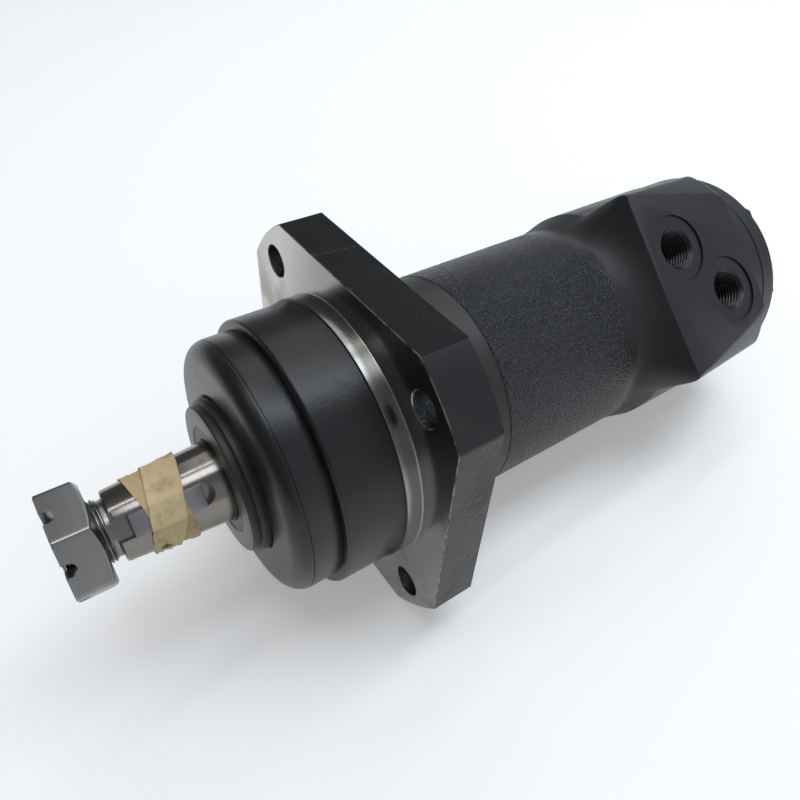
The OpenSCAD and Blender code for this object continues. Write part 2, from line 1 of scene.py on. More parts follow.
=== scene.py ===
# %% [markdown]
# # An orbital hydraulic motor
#
# This is a motor that turns oil flow into slow, strong turning. From its shaft end it has a slotted nut,
# a keyed taper wrapped in masking tape, a dust seal, a rounded cap, a painted drum, a square flange and a
# long rough casting with two ports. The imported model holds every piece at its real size, so here each
# visible piece gets the surface that the real one has.
#
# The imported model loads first. Everything is in metres and in its own frame: X runs along the shaft, with
# the shaft's free end at -X, and Z is up.

# %% The frame
import bpy
import json
import math
import numpy as np
from mathutils import Matrix, Vector, noise

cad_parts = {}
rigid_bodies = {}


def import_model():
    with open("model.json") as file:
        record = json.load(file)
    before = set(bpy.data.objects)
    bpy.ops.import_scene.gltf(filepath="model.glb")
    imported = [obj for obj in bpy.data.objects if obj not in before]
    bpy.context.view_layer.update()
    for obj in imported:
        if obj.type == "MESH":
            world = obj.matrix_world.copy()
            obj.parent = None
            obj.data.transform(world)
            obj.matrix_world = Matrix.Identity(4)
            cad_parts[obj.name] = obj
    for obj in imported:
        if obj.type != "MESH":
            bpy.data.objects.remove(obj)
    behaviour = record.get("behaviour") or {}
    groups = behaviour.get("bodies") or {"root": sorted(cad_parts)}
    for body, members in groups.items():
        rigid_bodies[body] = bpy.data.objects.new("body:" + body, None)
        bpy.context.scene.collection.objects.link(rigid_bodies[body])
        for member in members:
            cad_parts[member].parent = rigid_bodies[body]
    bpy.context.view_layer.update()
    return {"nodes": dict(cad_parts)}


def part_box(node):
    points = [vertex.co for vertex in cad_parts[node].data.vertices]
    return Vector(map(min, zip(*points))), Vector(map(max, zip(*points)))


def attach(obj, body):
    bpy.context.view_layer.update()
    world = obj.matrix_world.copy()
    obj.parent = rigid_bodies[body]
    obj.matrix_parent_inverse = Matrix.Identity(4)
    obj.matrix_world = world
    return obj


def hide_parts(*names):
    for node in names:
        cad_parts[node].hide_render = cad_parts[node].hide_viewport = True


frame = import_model()

# %% [markdown]
# ## The camera
#
# The motor is seen from ahead of its shaft end and from its left, looking down at about 43 degrees. A
# camera is a place, a way of looking and a focal length. All three were worked out from round edges of
# known size, such as the pilot and the shaft, and are written here as they are: the place in metres and
# two directions of length one.

# %% Camera
camera_place = Vector((-0.1125, -0.1882, 0.2247))
looking = Vector((0.44263, 0.57466, -0.68836)).normalized()
to_the_right = Vector((0.81915, -0.57142, 0.04970)).normalized()
lens_mm = 30.45


def make_camera():
    upward = to_the_right.cross(looking).normalized()
    turn = Matrix((to_the_right, upward, -looking)).transposed().to_4x4()
    data = bpy.data.cameras.new("camera")
    data.lens = lens_mm
    data.sensor_width = 36
    data.clip_start = 0.01
    camera = bpy.data.objects.new("camera", data)
    camera.matrix_world = Matrix.Translation(camera_place) @ turn
    bpy.context.scene.collection.objects.link(camera)
    bpy.context.scene.camera = camera
    return camera


camera = make_camera()
print("camera at", [round(v, 3) for v in camera.location], "lens", lens_mm)

# %% [markdown]
# ## Helpers for shapes
#
# Most of this object was made on a lathe, so most pieces are an outline turned round the shaft. The
# helpers below work in millimetres, as a drawing does, and only the finished mesh is scaled to metres. An
# outline is a list of (station, radius) pairs. Some surfaces are not quite round, such as a cast body or
# a thread. They are still a radius for each station and each angle, so one function that turns such a
# rule into a closed mesh makes them all.

# %% Shapes from a radius rule
MM = 0.001
TURN = 2 * math.pi


def make_piece(name, points, faces, sharp_over=32):
    """A mesh from points in millimetres, sharp only where it bends by more than sharp_over degrees."""
    mesh = bpy.data.meshes.new(name)
    mesh.from_pydata((np.asarray(points, float) * MM).tolist(), [], faces)
    mesh.update()
    piece = bpy.data.objects.new(name, mesh)
    bpy.context.scene.collection.objects.link(piece)
    smooth_faces(piece, sharp_over)
    return piece


def smooth_faces(piece, sharp_over=32):
    mesh = piece.data
    mesh.polygons.foreach_set("use_smooth", [True] * len(mesh.polygons))
    mesh.set_sharp_from_angle(angle=math.radians(sharp_over))


def ring_faces(rings, steps):
    """Faces between rings of steps points, with a fan to one point at each end of the solid."""
    faces = []
    for i in range(rings - 1):
        for j in range(steps):
            k = (j + 1) % steps
            a, b = i * steps, (i + 1) * steps
            faces.append((a + j, a + k, b + k, b + j))
    first, last = rings * steps, rings * steps + 1
    end = (rings - 1) * steps
    for j in range(steps):
        k = (j + 1) % steps
        faces.append((first, k, j))
        faces.append((last, end + j, end + k))
    return faces


def even(steps):
    return np.arange(steps) * TURN / steps


def ring(x, r, angles):
    """Points at one station; r is one radius or a radius for each angle, counted from +Y towards +Z."""
    r = np.broadcast_to(r, angles.shape)
    x = np.broadcast_to(x, angles.shape)
    return np.stack([x, r * np.cos(angles), r * np.sin(angles)], 1)


def round_solid(name, stations, radius_of, angles, sharp_over=32):
    """Closed solid round the shaft, where radius_of(station, angles) gives a radius for each angle."""
    rings = [ring(x, radius_of(x, angles), angles) for x in stations]
    ends = np.array([[stations[0], 0, 0], [stations[-1], 0, 0]], float)
    return make_piece(name, np.vstack(rings + [ends]), ring_faces(len(stations), len(angles)), sharp_over)


def turned(name, outline, steps=192):
    """Closed solid from an outline of (station, radius) pairs that starts and ends on the axis."""
    inner = [p for p in outline if p[1] > 1e-6]
    rings = [ring(x, r, even(steps)) for x, r in inner]
    ends = np.array([[outline[0][0], 0, 0], [outline[-1][0], 0, 0]], float)
    return make_piece(name, np.vstack(rings + [ends]), ring_faces(len(inner), steps))


def ring_solid(name, outline, steps=192):
    """Closed ring from a closed outline, which runs to +X outside and back to -X inside."""
    rings = [ring(x, r, even(steps)) for x, r in outline]
    faces = []
    for i in range(len(outline)):
        here, ahead = i * steps, (i + 1) % len(outline) * steps
        for j in range(steps):
            k = (j + 1) % steps
            faces.append((here + j, here + k, ahead + k, ahead + j))
    return make_piece(name, np.vstack(rings), faces)


print("shape helpers are ready")

# %% [markdown]
# ## Corners that a tool leaves
#
# A machined edge is never a perfect line: it is broken by a small chamfer or radius, and that thin band
# is what catches the light. `rounded` swaps a corner of an outline for a short arc, so that every turned
# piece can have its own edge size.

# %% Rounded outlines
def rounded(outline, radii, arc=5):
    """The outline with corner number n rounded by radii[n], in millimetres."""
    out = []
    for n, p in enumerate(outline):
        r = radii.get(n, 0)
        if not r:
            out.append(p)
            continue
        here = Vector(p)
        before = (Vector(outline[n - 1]) - here).normalized()
        after = (Vector(outline[n + 1]) - here).normalized()
        half = before.angle(after) / 2
        reach = r / math.tan(half)
        centre = here + (before + after).normalized() * (r / math.sin(half))
        start = here + before * reach - centre
        finish = here + after * reach - centre
        for i in range(arc + 1):
            way = start.slerp(finish, i / arc, start)
            out.append(tuple(centre + way.normalized() * r))
    return out


print("edge helpers are ready")

# %% [markdown]
# ## Cutting
#
# Holes, slots and milled faces are cut from the solids with Boolean modifiers, as they are on the real
# pieces. The manifold solver is used because it is fast on dense meshes and always gives a closed mesh
# back. Each cutter is thrown away once the cut is applied.

# %% Boolean helpers
def combine(piece, tool, operation="DIFFERENCE"):
    change = piece.modifiers.new("combine", "BOOLEAN")
    change.operation = operation
    change.object = tool
    change.solver = "MANIFOLD"
    depsgraph = bpy.context.evaluated_depsgraph_get()
    mesh = bpy.data.meshes.new_from_object(piece.evaluated_get(depsgraph))
    piece.modifiers.clear()
    old = piece.data
    piece.data = mesh
    mesh.name = piece.name
    bpy.data.meshes.remove(old)
    bpy.data.meshes.remove(tool.data)


def moved(piece, matrix):
    """Moves the points of a mesh by a matrix whose shift is in millimetres."""
    place = matrix.copy()
    place.translation = place.translation * MM
    piece.data.transform(place)
    return piece


def bar(x0, x1, r, steps=64):
    return turned("bar", [(x0, 0), (x0, r), (x1, r), (x1, 0)], steps)


def about_x(degrees):
    return Matrix.Rotation(math.radians(degrees), 4, "X")


def upright(piece):
    """Turns a solid that was made along the shaft, so that it stands along Z."""
    return moved(piece, Matrix.Rotation(math.radians(-90), 4, "Y"))


def box(low, high):
    x, y, z = zip(low, high)
    points = [(a, b, c) for a in x for b in y for c in z]
    faces = [(0, 1, 3, 2), (4, 6, 7, 5), (0, 4, 5, 1), (2, 3, 7, 6), (0, 2, 6, 4), (1, 5, 7, 3)]
    return make_piece("box", points, faces)


print("cutting helpers are ready")

# %% [markdown]
# ## Shared surface effects
#
# The finishes are mixed from four effects: the pebbled skin that sand leaves on a casting, the fine rings
# that a lathe leaves, the grime that settles unevenly, and small scratches. They could be drawn again in
# every material, but then each change would have to be made many times. Here each one is a node group
# with named inputs, built once. It gives out only a height or a mask, and each material uses it with its
# own values.

# %% Node helpers
class Nodes:
    """Short ways to add and join the nodes of one tree."""

    def __init__(self, tree):
        self.tree = tree

    def add(self, kind, **values):
        node = self.tree.nodes.new(kind)
        for key, value in values.items():
            setattr(node, key, value)
        return node

    def join(self, source, target):
        self.tree.links.new(source, target)

    def feed(self, socket, value):
        if isinstance(value, bpy.types.NodeSocket):
            self.join(value, socket)
        else:
            socket.default_value = value

    def math(self, operation, a, b=0.0):
        node = self.add("ShaderNodeMath", operation=operation)
        self.feed(node.inputs[0], a)
        self.feed(node.inputs[1], b)
        return node.outputs[0]

    def noise(self, vector, scale, detail=2.0, roughness=0.5):
        node = self.add("ShaderNodeTexNoise")
        self.feed(node.inputs["Vector"], vector)
        self.feed(node.inputs["Scale"], scale)
        node.inputs["Detail"].default_value = detail
        node.inputs["Roughness"].default_value = roughness
        return node.outputs["Fac"]

    def range(self, value, low, high, to_low=0.0, to_high=1.0):
        node = self.add("ShaderNodeMapRange", interpolation_type="SMOOTHSTEP")
        for socket, v in zip(node.inputs, (value, low, high, to_low, to_high)):
            self.feed(socket, v)
        return node.outputs[0]

    def mix(self, share, a, b):
        node = self.add("ShaderNodeMix", data_type="RGBA")
        self.feed(node.inputs[0], share)
        self.feed(node.inputs[6], a)
        self.feed(node.inputs[7], b)
        return node.outputs[2]

    def group(self, tree, **values):
        node = self.add("ShaderNodeGroup", node_tree=tree)
        for key, value in values.items():
            self.feed(node.inputs[key], value)
        return node


def new_group(name, inputs, outputs):
    """A shader group with float or vector inputs and outputs, and the helper that fills it."""
    tree = bpy.data.node_groups.new(name, "ShaderNodeTree")
    for label, kind, value in inputs:
        socket = tree.interface.new_socket(label, in_out="INPUT", socket_type=kind)
        if value is not None:
            socket.default_value = value
    for label, kind in outputs:
        tree.interface.new_socket(label, in_out="OUTPUT", socket_type=kind)
    build = Nodes(tree)
    return tree, build, build.add("NodeGroupInput"), build.add("NodeGroupOutput")


FLOAT, VECTOR = "NodeSocketFloat", "NodeSocketVector"
print("node helpers are ready")

# %% Cast skin, lathe rings, grime and scratches
def cast_skin_group():
    """Pebbles and grains of a sand casting. Size is the pebble's width in metres."""
    tree, n, given, out = new_group(
        "cast skin", [("Vector", VECTOR, None), ("Size", FLOAT, 0.0015)],
        [("Height", FLOAT)])
    scale = n.math("DIVIDE", 1.0, given.outputs["Size"])
    pebbles = n.noise(given.outputs["Vector"], scale, 3.0, 0.55)
    grains = n.add("ShaderNodeTexVoronoi", feature="SMOOTH_F1")
    n.feed(grains.inputs["Vector"], given.outputs["Vector"])
    n.feed(grains.inputs["Scale"], scale)
    grain = n.range(grains.outputs["Distance"], 0.1, 0.75, 1.0, 0.0)
    n.join(n.math("ADD", n.math("MULTIPLY", pebbles, 0.6), grain), out.inputs["Height"])
    return tree


def lathe_rings_group():
    """Fine rings round the shaft, a Pitch apart in metres. They change with the station and the radius."""
    tree, n, given, out = new_group(
        "lathe rings", [("Vector", VECTOR, None), ("Pitch", FLOAT, 0.0003)],
        [("Height", FLOAT), ("Streak", FLOAT)])
    split = n.add("ShaderNodeSeparateXYZ")
    n.join(given.outputs["Vector"], split.inputs[0])
    y, z = split.outputs["Y"], split.outputs["Z"]
    radius = n.math("SQRT", n.math("ADD", n.math("MULTIPLY", y, y), n.math("MULTIPLY", z, z)))
    place = n.add("ShaderNodeCombineXYZ")
    n.join(n.math("ADD", radius, split.outputs["X"]), place.inputs["X"])
    scale = n.math("DIVIDE", 1.0, given.outputs["Pitch"])
    n.join(n.noise(place.outputs[0], scale, 1.0), out.inputs["Height"])
    n.join(n.noise(place.outputs[0], n.math("MULTIPLY", scale, 0.12), 2.0), out.inputs["Streak"])
    return tree


def grime_group():
    """Uneven dirt and oil. Amount moves the mask from clean to covered."""
    tree, n, given, out = new_group(
        "grime", [("Vector", VECTOR, None), ("Size", FLOAT, 0.02), ("Amount", FLOAT, 0.5)],
        [("Mask", FLOAT)])
    scale = n.math("DIVIDE", 1.0, given.outputs["Size"])
    cloud = n.noise(given.outputs["Vector"], scale, 6.0, 0.62)
    start = n.math("SUBTRACT", 0.75, n.math("MULTIPLY", given.outputs["Amount"], 0.5))
    n.join(n.range(cloud, start, n.math("ADD", start, 0.22)), out.inputs["Mask"])
    return tree


def scratches_group():
    """Thin marks that run mostly one way, from a noise stretched along X."""
    tree, n, given, out = new_group(
        "scratches", [("Vector", VECTOR, None), ("Size", FLOAT, 0.001)], [("Mask", FLOAT)])
    stretch = n.add("ShaderNodeMapping")
    n.join(given.outputs["Vector"], stretch.inputs["Vector"])
    stretch.inputs["Rotation"].default_value = (0.3, 0.5, 0.2)
    stretch.inputs["Scale"].default_value = (0.06, 1.0, 1.0)
    scale = n.math("DIVIDE", 1.0, given.outputs["Size"])
    lines = n.noise(stretch.outputs[0], scale, 2.0, 0.7)
    n.join(n.range(lines, 0.68, 0.76), out.inputs["Mask"])
    return tree


cast_skin = cast_skin_group()
lathe_rings = lathe_rings_group()
grime = grime_group()
scratches = scratches_group()
print("shared effects:", [tree.name for tree in (cast_skin, lathe_rings, grime, scratches)])

# %% [markdown]
# ## The casting
#
# Housing, drum, pilot, flange and port block are one iron casting. It is modelled in the order in which
# it is made: first the rough shape, with the skin of the sand mould really moved in and out, and then the
# cuts of the lathe, the drill and the mill. The rough body could be sculpted, but a radius for each
# station and angle keeps its sizes exact. Ahead of the ports the body rises to the block in a concave
# sweep. The outline of the block is averaged over a few degrees, which gives the round corners of a
# casting.

# %% Sizes of the casting, in millimetres
housing_low, housing_high = [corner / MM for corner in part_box("housing")]
housing_end = housing_high.x

# The drum, the pilot and the square flange
drum_front = housing_low.x
drum_r = 61.5
pilot_r = 62.5
pilot_front = -8
half_side = housing_high.y
corner_r = 93
flange_t = 21.5
bolt_r = 80
hole_r = 7.5

# The turned band behind the flange, and the round body
band_r = 54.2
band_end = 54
fillet_r = 4
body_r = 54.6

# The port block, its corners at the front and the rear, and the rise that leads to it
block_r = 58.5
face_h = 62
stock_h = 63.2
block_half = 49
block_corner, block_back = 78, 70.5
block_edge = 5
rise_from, rise_to = 137, 156

# The lean of the port face in degrees, and the places of the ports and the drain
face_turn = 42
port_places = [(175.5, 14.6), (200, -14.6)]
drain_x = 90
print("housing:", round(housing_end - drum_front, 1), "mm long, flange", 2 * half_side, "mm square")

# %% The rough body
def block_lean(angles):
    """Angle of each point from the normal of the port face."""
    return angles - math.radians(90 + face_turn)


def soften(values, width):
    """Averages a closed ring of values over a few neighbours, three times."""
    for _ in range(3):
        values = sum(np.roll(values, k) for k in range(-width, width + 1)) / (2 * width + 1)
    return values


def block_outline(x, angles):
    """Radius of the port block at one station, before the port face is milled."""
    up, across = np.cos(block_lean(angles)), np.abs(np.sin(block_lean(angles)))
    taper = min(1.0, max(0.0, (x - rise_to) / (housing_end - block_edge - rise_to)))
    over = min(1.0, max(0.0, (x - housing_end + block_edge) / block_edge))
    rear_rounding = block_edge * (1 - math.sqrt(1 - over * over))
    corner = block_corner + (block_back - block_corner) * taper - rear_rounding
    slab = np.minimum(stock_h / np.maximum(up, 0.01), block_half / np.maximum(across, 0.01))
    slab = np.where(up > 0, np.minimum(slab, corner), 0)
    return soften(np.maximum(slab, block_r), 2)


def body_radius(x, angles):
    """A fillet behind the flange, the turned band, the round body, and the rise to the port block."""
    if x < flange_t + fillet_r:
        ahead = (flange_t + fillet_r - max(x, flange_t)) / fillet_r
        return band_r + fillet_r * (1 - math.sqrt(max(0.0, 1 - ahead ** 2)))
    if x < band_end:
        return band_r
    if x < rise_from:
        return min(body_r, band_r + 0.5 * (x - band_end))
    t = min(1.0, (x - rise_from) / (rise_to - rise_from))
    hollow = 1.3 + 1.1 * np.maximum(np.cos(block_lean(angles)), 0) ** 6
    return body_r + (block_outline(max(x, rise_to), angles) - body_r) * t ** hollow


body_steps = 540
body_stations = np.concatenate([
    np.linspace(flange_t - 1, flange_t + fillet_r, 7),
    np.linspace(28, band_end - 0.4, 14),
    np.linspace(band_end, band_end + 0.8, 3),
    np.arange(band_end + 1.4, rise_from - 0.3, 0.65),
    np.linspace(rise_from, rise_to, 28),
    np.arange(rise_to + 1.2, housing_end - block_edge - 0.5, 1.5),
    housing_end - block_edge + block_edge * np.sin(np.linspace(0, math.pi / 2, 9))])


def rough_skin(piece, depth_at):
    """Moves each point across the shaft by the lumps of a sand mould.

    depth_at gives their height in millimetres. A negative height cuts pits only, and adds nothing."""
    grain, pebble, wave = 1.3, 2.6, 14
    mesh = piece.data
    places = np.empty(len(mesh.vertices) * 3)
    mesh.vertices.foreach_get("co", places)
    places = places.reshape(-1, 3) / MM
    for i, (x, y, z) in enumerate(places):
        depth = depth_at(x, y, z)
        if not depth:
            continue
        p = Vector((x, y, z))
        lump = noise.noise(p / grain) + 0.6 * noise.noise(p / pebble) + 0.8 * noise.noise(p / wave)
        if depth < 0:
            lump = -min(lump + 0.1, 0.0)
        share = 1 + depth * lump / math.hypot(y, z)
        places[i, 1:] *= share
    mesh.vertices.foreach_set("co", (places * MM).ravel())
    mesh.update()


def body_depth(x, y, z):
    """Rough on the round body, calmer from the rise on, and flat on the band and the rear face."""
    if x < band_end + 1 or x >= housing_end - 1:
        return 0
    fade = min(1.0, max(0.0, (rise_from - 3 - x) / 6))
    return 0.03 + 0.05 * fade


casting = round_solid("housing_casting", body_stations, body_radius, even(body_steps))
rough_skin(casting, body_depth)
print("rough body:", len(casting.data.vertices), "points")

# %% [markdown]
# ## Flange and turned front
#
# The flange is a square whose corners were turned away on the lathe. It is also a radius for each angle:
# the smaller of the distance to the flat and the corner's radius. Its points lie close together along the
# flats, because the pits of the sawn iron are real dents there. The drum and the pilot are one turned
# outline, and all three are joined before anything is cut.

# %% The flange and the turned front
def flange_angles(step):
    """Angles of points along the four flats and the four turned corners, about one step apart."""
    half_flat = math.acos(half_side / corner_r)
    across = half_side * math.tan(half_flat)
    flat = np.arctan(np.linspace(-across, across, int(2 * across / step) + 1) / half_side)
    corner_steps = int((math.pi / 2 - 2 * half_flat) * corner_r / step) + 1
    corner = np.linspace(half_flat, math.pi / 2 - half_flat, corner_steps)
    side = np.concatenate([flat, corner[1:-1]])
    return np.concatenate([side + k * math.pi / 2 for k in range(4)])


def flange_radius(inset):
    """A square with turned corners, its front and rear edges broken by inset millimetres."""
    def radius_of(x, angles):
        edge = max(0.0, inset - x, x - (flange_t - inset))
        reach = half_side / np.maximum(np.abs(np.cos(angles)), np.abs(np.sin(angles)))
        return np.minimum(reach, corner_r) - edge
    return radius_of


def flange_depth(x, y, z):
    """Pits on the flat sides only: deep on the two that face sideways, faint above and below."""
    on_flat = max(abs(y), abs(z)) > half_side - 1.5 and math.hypot(y, z) < corner_r - 0.5
    if not on_flat or x < 0.5 or x > flange_t - 0.5:
        return 0
    return -0.3 if abs(y) > abs(z) else -0.08


edge_break, flange_step = 0.4, 0.85
flange_stations = np.concatenate([
    [0, edge_break], np.arange(1, flange_t - 0.9, flange_step), [flange_t - edge_break, flange_t]])
flange = round_solid("flange", flange_stations, flange_radius(edge_break), flange_angles(flange_step))
rough_skin(flange, flange_depth)
front_outline = rounded(
    [(drum_front, 0), (drum_front, drum_r), (pilot_front - 5, drum_r), (pilot_front, pilot_r - 0.7),
     (pilot_front, pilot_r), (0.02, pilot_r), (0.02, pilot_r + 2), (1, pilot_r + 2), (1, 0)],
    {1: 1.6, 4: 0.5, 5: 0.7})
combine(casting, flange, "UNION")
combine(casting, turned("front", front_outline, 256), "UNION")
print("casting with flange and drum:", len(casting.data.vertices), "points")

# %% [markdown]
# ## The cuts
#
# The same cuts are made as in the workshop: the bores on the shaft's axis, the four bolt holes, the flat
# port face, and the two ports with their spot faces and threads. A thread could be faked with bump, but
# it is seen from close by and from the side, so it is cut by a solid whose radius follows a helix.

# %% Lathe, drill and mill
def port_frame(x, across, height):
    """From upright to the port face: height is counted from the shaft's axis."""
    return about_x(face_turn) @ Matrix.Translation((x * MM, across * MM, height * MM))


def place(piece, matrix):
    """Moves the points of a mesh by a matrix whose shift is already in metres."""
    piece.data.transform(matrix)
    return piece


def threaded_bar(x0, x1, core, crest, pitch, steps=72):
    """A bar with a screw thread, made as a radius that rises and falls along a helix."""
    def radius_of(x, angles):
        phase = (x / pitch - angles / TURN) % 1
        ridge = np.clip(1.4 - 2.8 * np.abs(phase - 0.5), 0, 1)
        return core + (crest - core) * (1 - ridge)
    stations = np.linspace(x0, x1, int((x1 - x0) / pitch * 10) + 1)
    return round_solid("thread", stations, radius_of, even(steps), 50)


def cut_port(piece, x, across):
    """A spot face, a half inch pipe thread with a bevelled rim, and a drilling to the bore."""
    spot_r, tap_r, crest_r, drill_r = 17, 9.45, 10.4, 5.5
    spot_deep, thread_deep, drill_deep, pitch = 0.8, 16, 41, 1.814
    rim_r = crest_r + 0.5
    cutters = [bar(-spot_deep, 4, spot_r, 128),
               threaded_bar(-thread_deep, -0.5, tap_r, crest_r, pitch),
               turned("rim", [(-2.2, 0), (-2.2, tap_r), (-0.7, rim_r), (0, rim_r), (0, 0)], 96),
               bar(-drill_deep, 1 - thread_deep, drill_r, 48)]
    for cutter in cutters:
        combine(piece, place(upright(cutter), port_frame(x, across, face_h)))


# %% Bores on the axis, then holes, port face, ports and drain
bearing_r, shoulder_r, clear_r, spool_r, groove_r = 45, 37, 27, 21.03, 25
bearing_end, shoulder_end, clear_end, groove_half = 27.75, 31.75, 112, 3.5
inside = [(drum_front - 1, 0), (drum_front - 1, bearing_r), (bearing_end, bearing_r),
          (bearing_end, shoulder_r), (shoulder_end, shoulder_r), (shoulder_end, clear_r),
          (clear_end, clear_r), (clear_end, spool_r)]
for x, across in port_places:
    inside += [(x - groove_half, spool_r), (x - groove_half, groove_r),
               (x + groove_half, groove_r), (x + groove_half, spool_r)]
inside += [(housing_end + 1, spool_r), (housing_end + 1, 0)]
combine(casting, turned("inside", inside, 96))
rim_wide, rim_deep = 1.4, 0.4
hole_outline = [(-1, 0), (-1, hole_r + rim_wide), (rim_deep, hole_r),
                (flange_t + 2, hole_r), (flange_t + 2, 0)]
for k in range(4):
    angle = math.radians(45 + 90 * k)
    middle = (0, bolt_r * math.cos(angle), bolt_r * math.sin(angle))
    combine(casting, moved(turned("hole", hole_outline, 72), Matrix.Translation(middle)))
mill_low, mill_high = (150, -70, 0), (230, 70, 40)
combine(casting, place(box(mill_low, mill_high), port_frame(0, 0, face_h)))
for x, across in port_places:
    cut_port(casting, x, across)
screws, screw_circle_r, first_screw_turn, screw_core_r, screw_deep = 7, 47, 9, 4, 15
for k in range(screws):
    turn = about_x(first_screw_turn + k * 360 / screws)
    screw_hole = bar(housing_end - screw_deep, housing_end + 1, screw_core_r, 24)
    combine(casting, moved(screw_hole, turn @ Matrix.Translation((0, screw_circle_r, 0))))
drain_seat_h, drain_seat_r, drain_core_r = 53, 11, 5.7
drain_frame = about_x(180 + face_turn) @ Matrix.Translation((drain_x * MM, 0, 0))
combine(casting, place(upright(bar(drain_seat_h, 58, drain_seat_r)), drain_frame))
combine(casting, place(upright(bar(20, 60, drain_core_r)), drain_frame))
smooth_faces(casting, 38)
print("finished casting:", len(casting.data.vertices), "points")

# %% [markdown]
# ## Cap and seal case
#
# Both are round, so an outline turned round the shaft makes them. The cap is a rounded steel cup with one
# fine line cut into its rounded edge. The seal case is a stepped pressing that stands out of the cap,
# with a small groove behind each step. Grooves this fine are in the outline itself, because their shadows
# show at any angle.

# %% Cap and seal case
def cap_outline():
    """The cap's rounded edge with its fine line, its rear corner, and then its bores from rear to front."""
    front, front_r, r, edge_r, line, line_deep = -54.5, 37, 57.5, 8, -47.6, 0.2
    edge_front = front + 0.6
    edge = [(edge_front + edge_r * (1 - math.cos(a)), r - edge_r + edge_r * math.sin(a))
            for a in np.linspace(0.05, math.pi / 2, 24)]
    ahead = [p for p in edge if p[0] < line - 0.1]
    behind = [p for p in edge if p[0] > line + 0.4]
    line_r = ahead[-1][1]
    groove = [(line - 0.05, line_r), (line + 0.03, line_r - line_deep), (line + 0.2, line_r - line_deep),
              (line + 0.3, line_r + 0.1)]
    face = [(front, front_r - 0.6), (front, front_r), (edge_front, r - edge_r)]
    rear = [(drum_front - 0.5, r), (drum_front - 0.1, r - 0.2), (drum_front, r - 0.6)]
    bores = [(drum_front, bearing_r), (-30.25, bearing_r), (-30.25, 38), (-40, 38), (-40, 26),
             (-42, 26), (-42, 31), (-51.5, 31), (-51.5, 34.5), (front + 1.5, 34.5), (front + 0.3, 35.9)]
    return face + ahead + groove + behind + rear + bores


cap = ring_solid("front_cap_shell", cap_outline(), 256)
small_step = [(-61.5, 24.4), (-61.5, 31.9), (-61.35, 32.5), (-60.9, 32.9), (-60.4, 33), (-58.6, 33)]
first_groove = [(-58.3, 32.7), (-58, 32.7), (-57.8, 33)]
large_step = [(-57.8, 34), (-57.65, 34.35), (-57.3, 34.5), (-55.6, 34.5)]
second_groove = [(-55.4, 34.2), (-55.1, 34.2), (-54.9, 34.5)]
hidden_rear = [(-51.5, 34.5), (-51.5, 24), (-60.9, 24)]
seal_outline = small_step + first_groove + large_step + second_groove + hidden_rear
seal_case = ring_solid("seal_case_pressing", seal_outline, 256)
print("cap and seal case:", len(cap.data.vertices), len(seal_case.data.vertices), "points")

# %% [markdown]
# ## The shaft
#
# The shaft has a fine thread, an undercut, a keyed taper, a seat for the seal and two for the bearings,
# and a hollow spool that times the oil. The plain parts are one outline. The thread is made apart and
# joined on, as its radius changes with the angle too, and the keyway, the centre hole and the pin hole
# are cut last.

# %% The shaft
taper_small_r = 15.2
taper_front, taper_back = -105.5, -61.5
thread_r, thread_pitch, thread_end = 13.5, 1.5, -126.5
undercut_r = 12
key_turn = 140
key_half, key_floor, key_top = 4.75, 11.6, 18.6
slot_turn = 33
taper_big_r = taper_small_r + (taper_back - taper_front) / 16


def taper_radius(x):
    return taper_small_r + (x - taper_front) / 16


def shaft_outline(core):
    """The forging without its thread: neck, taper, seal seat, bearing seats with their collar, and spool."""
    seal_r, seat_r, collar_r, waist_r, valve_r, valve_end = 20, 25, 29.5, 19, 21, 216
    neck = [(thread_end + 3, 0), (thread_end + 3, core - 0.2), (-108.2, core - 0.2), (-107.6, undercut_r),
            (-106, undercut_r), (taper_front, 12.5)]
    taper = [(taper_front, taper_small_r - 1), (taper_front + 0.4, taper_small_r - 0.25),
             (taper_front + 1.2, taper_small_r), (taper_back, taper_big_r), (-54, taper_big_r)]
    seats = [(-53.4, seal_r), (-37, seal_r), (-36, seat_r - 0.5), (-28, seat_r), (-8, seat_r), (-8, collar_r),
             (6, collar_r), (6, seat_r), (26, seat_r), (30, seat_r - 0.5)]
    spool = [(36, waist_r), (109, waist_r), (115, valve_r - 0.5), (115.5, valve_r), (valve_end - 1, valve_r),
             (valve_end, valve_r - 1), (valve_end, 0)]
    return neck + taper + seats + spool


def cut_keyway(shaft):
    """An open slot whose inner end is round, because an end mill cuts it."""
    half, beyond = key_half + 0.05, 25
    reach = -67 - half
    slot = box((-108, -half, key_floor), (reach, half, beyond))
    round_end = moved(upright(bar(key_floor, beyond, half, 48)), Matrix.Translation((reach, 0, 0)))
    combine(slot, round_end, "UNION")
    combine(shaft, place(slot, about_x(key_turn - 90)))


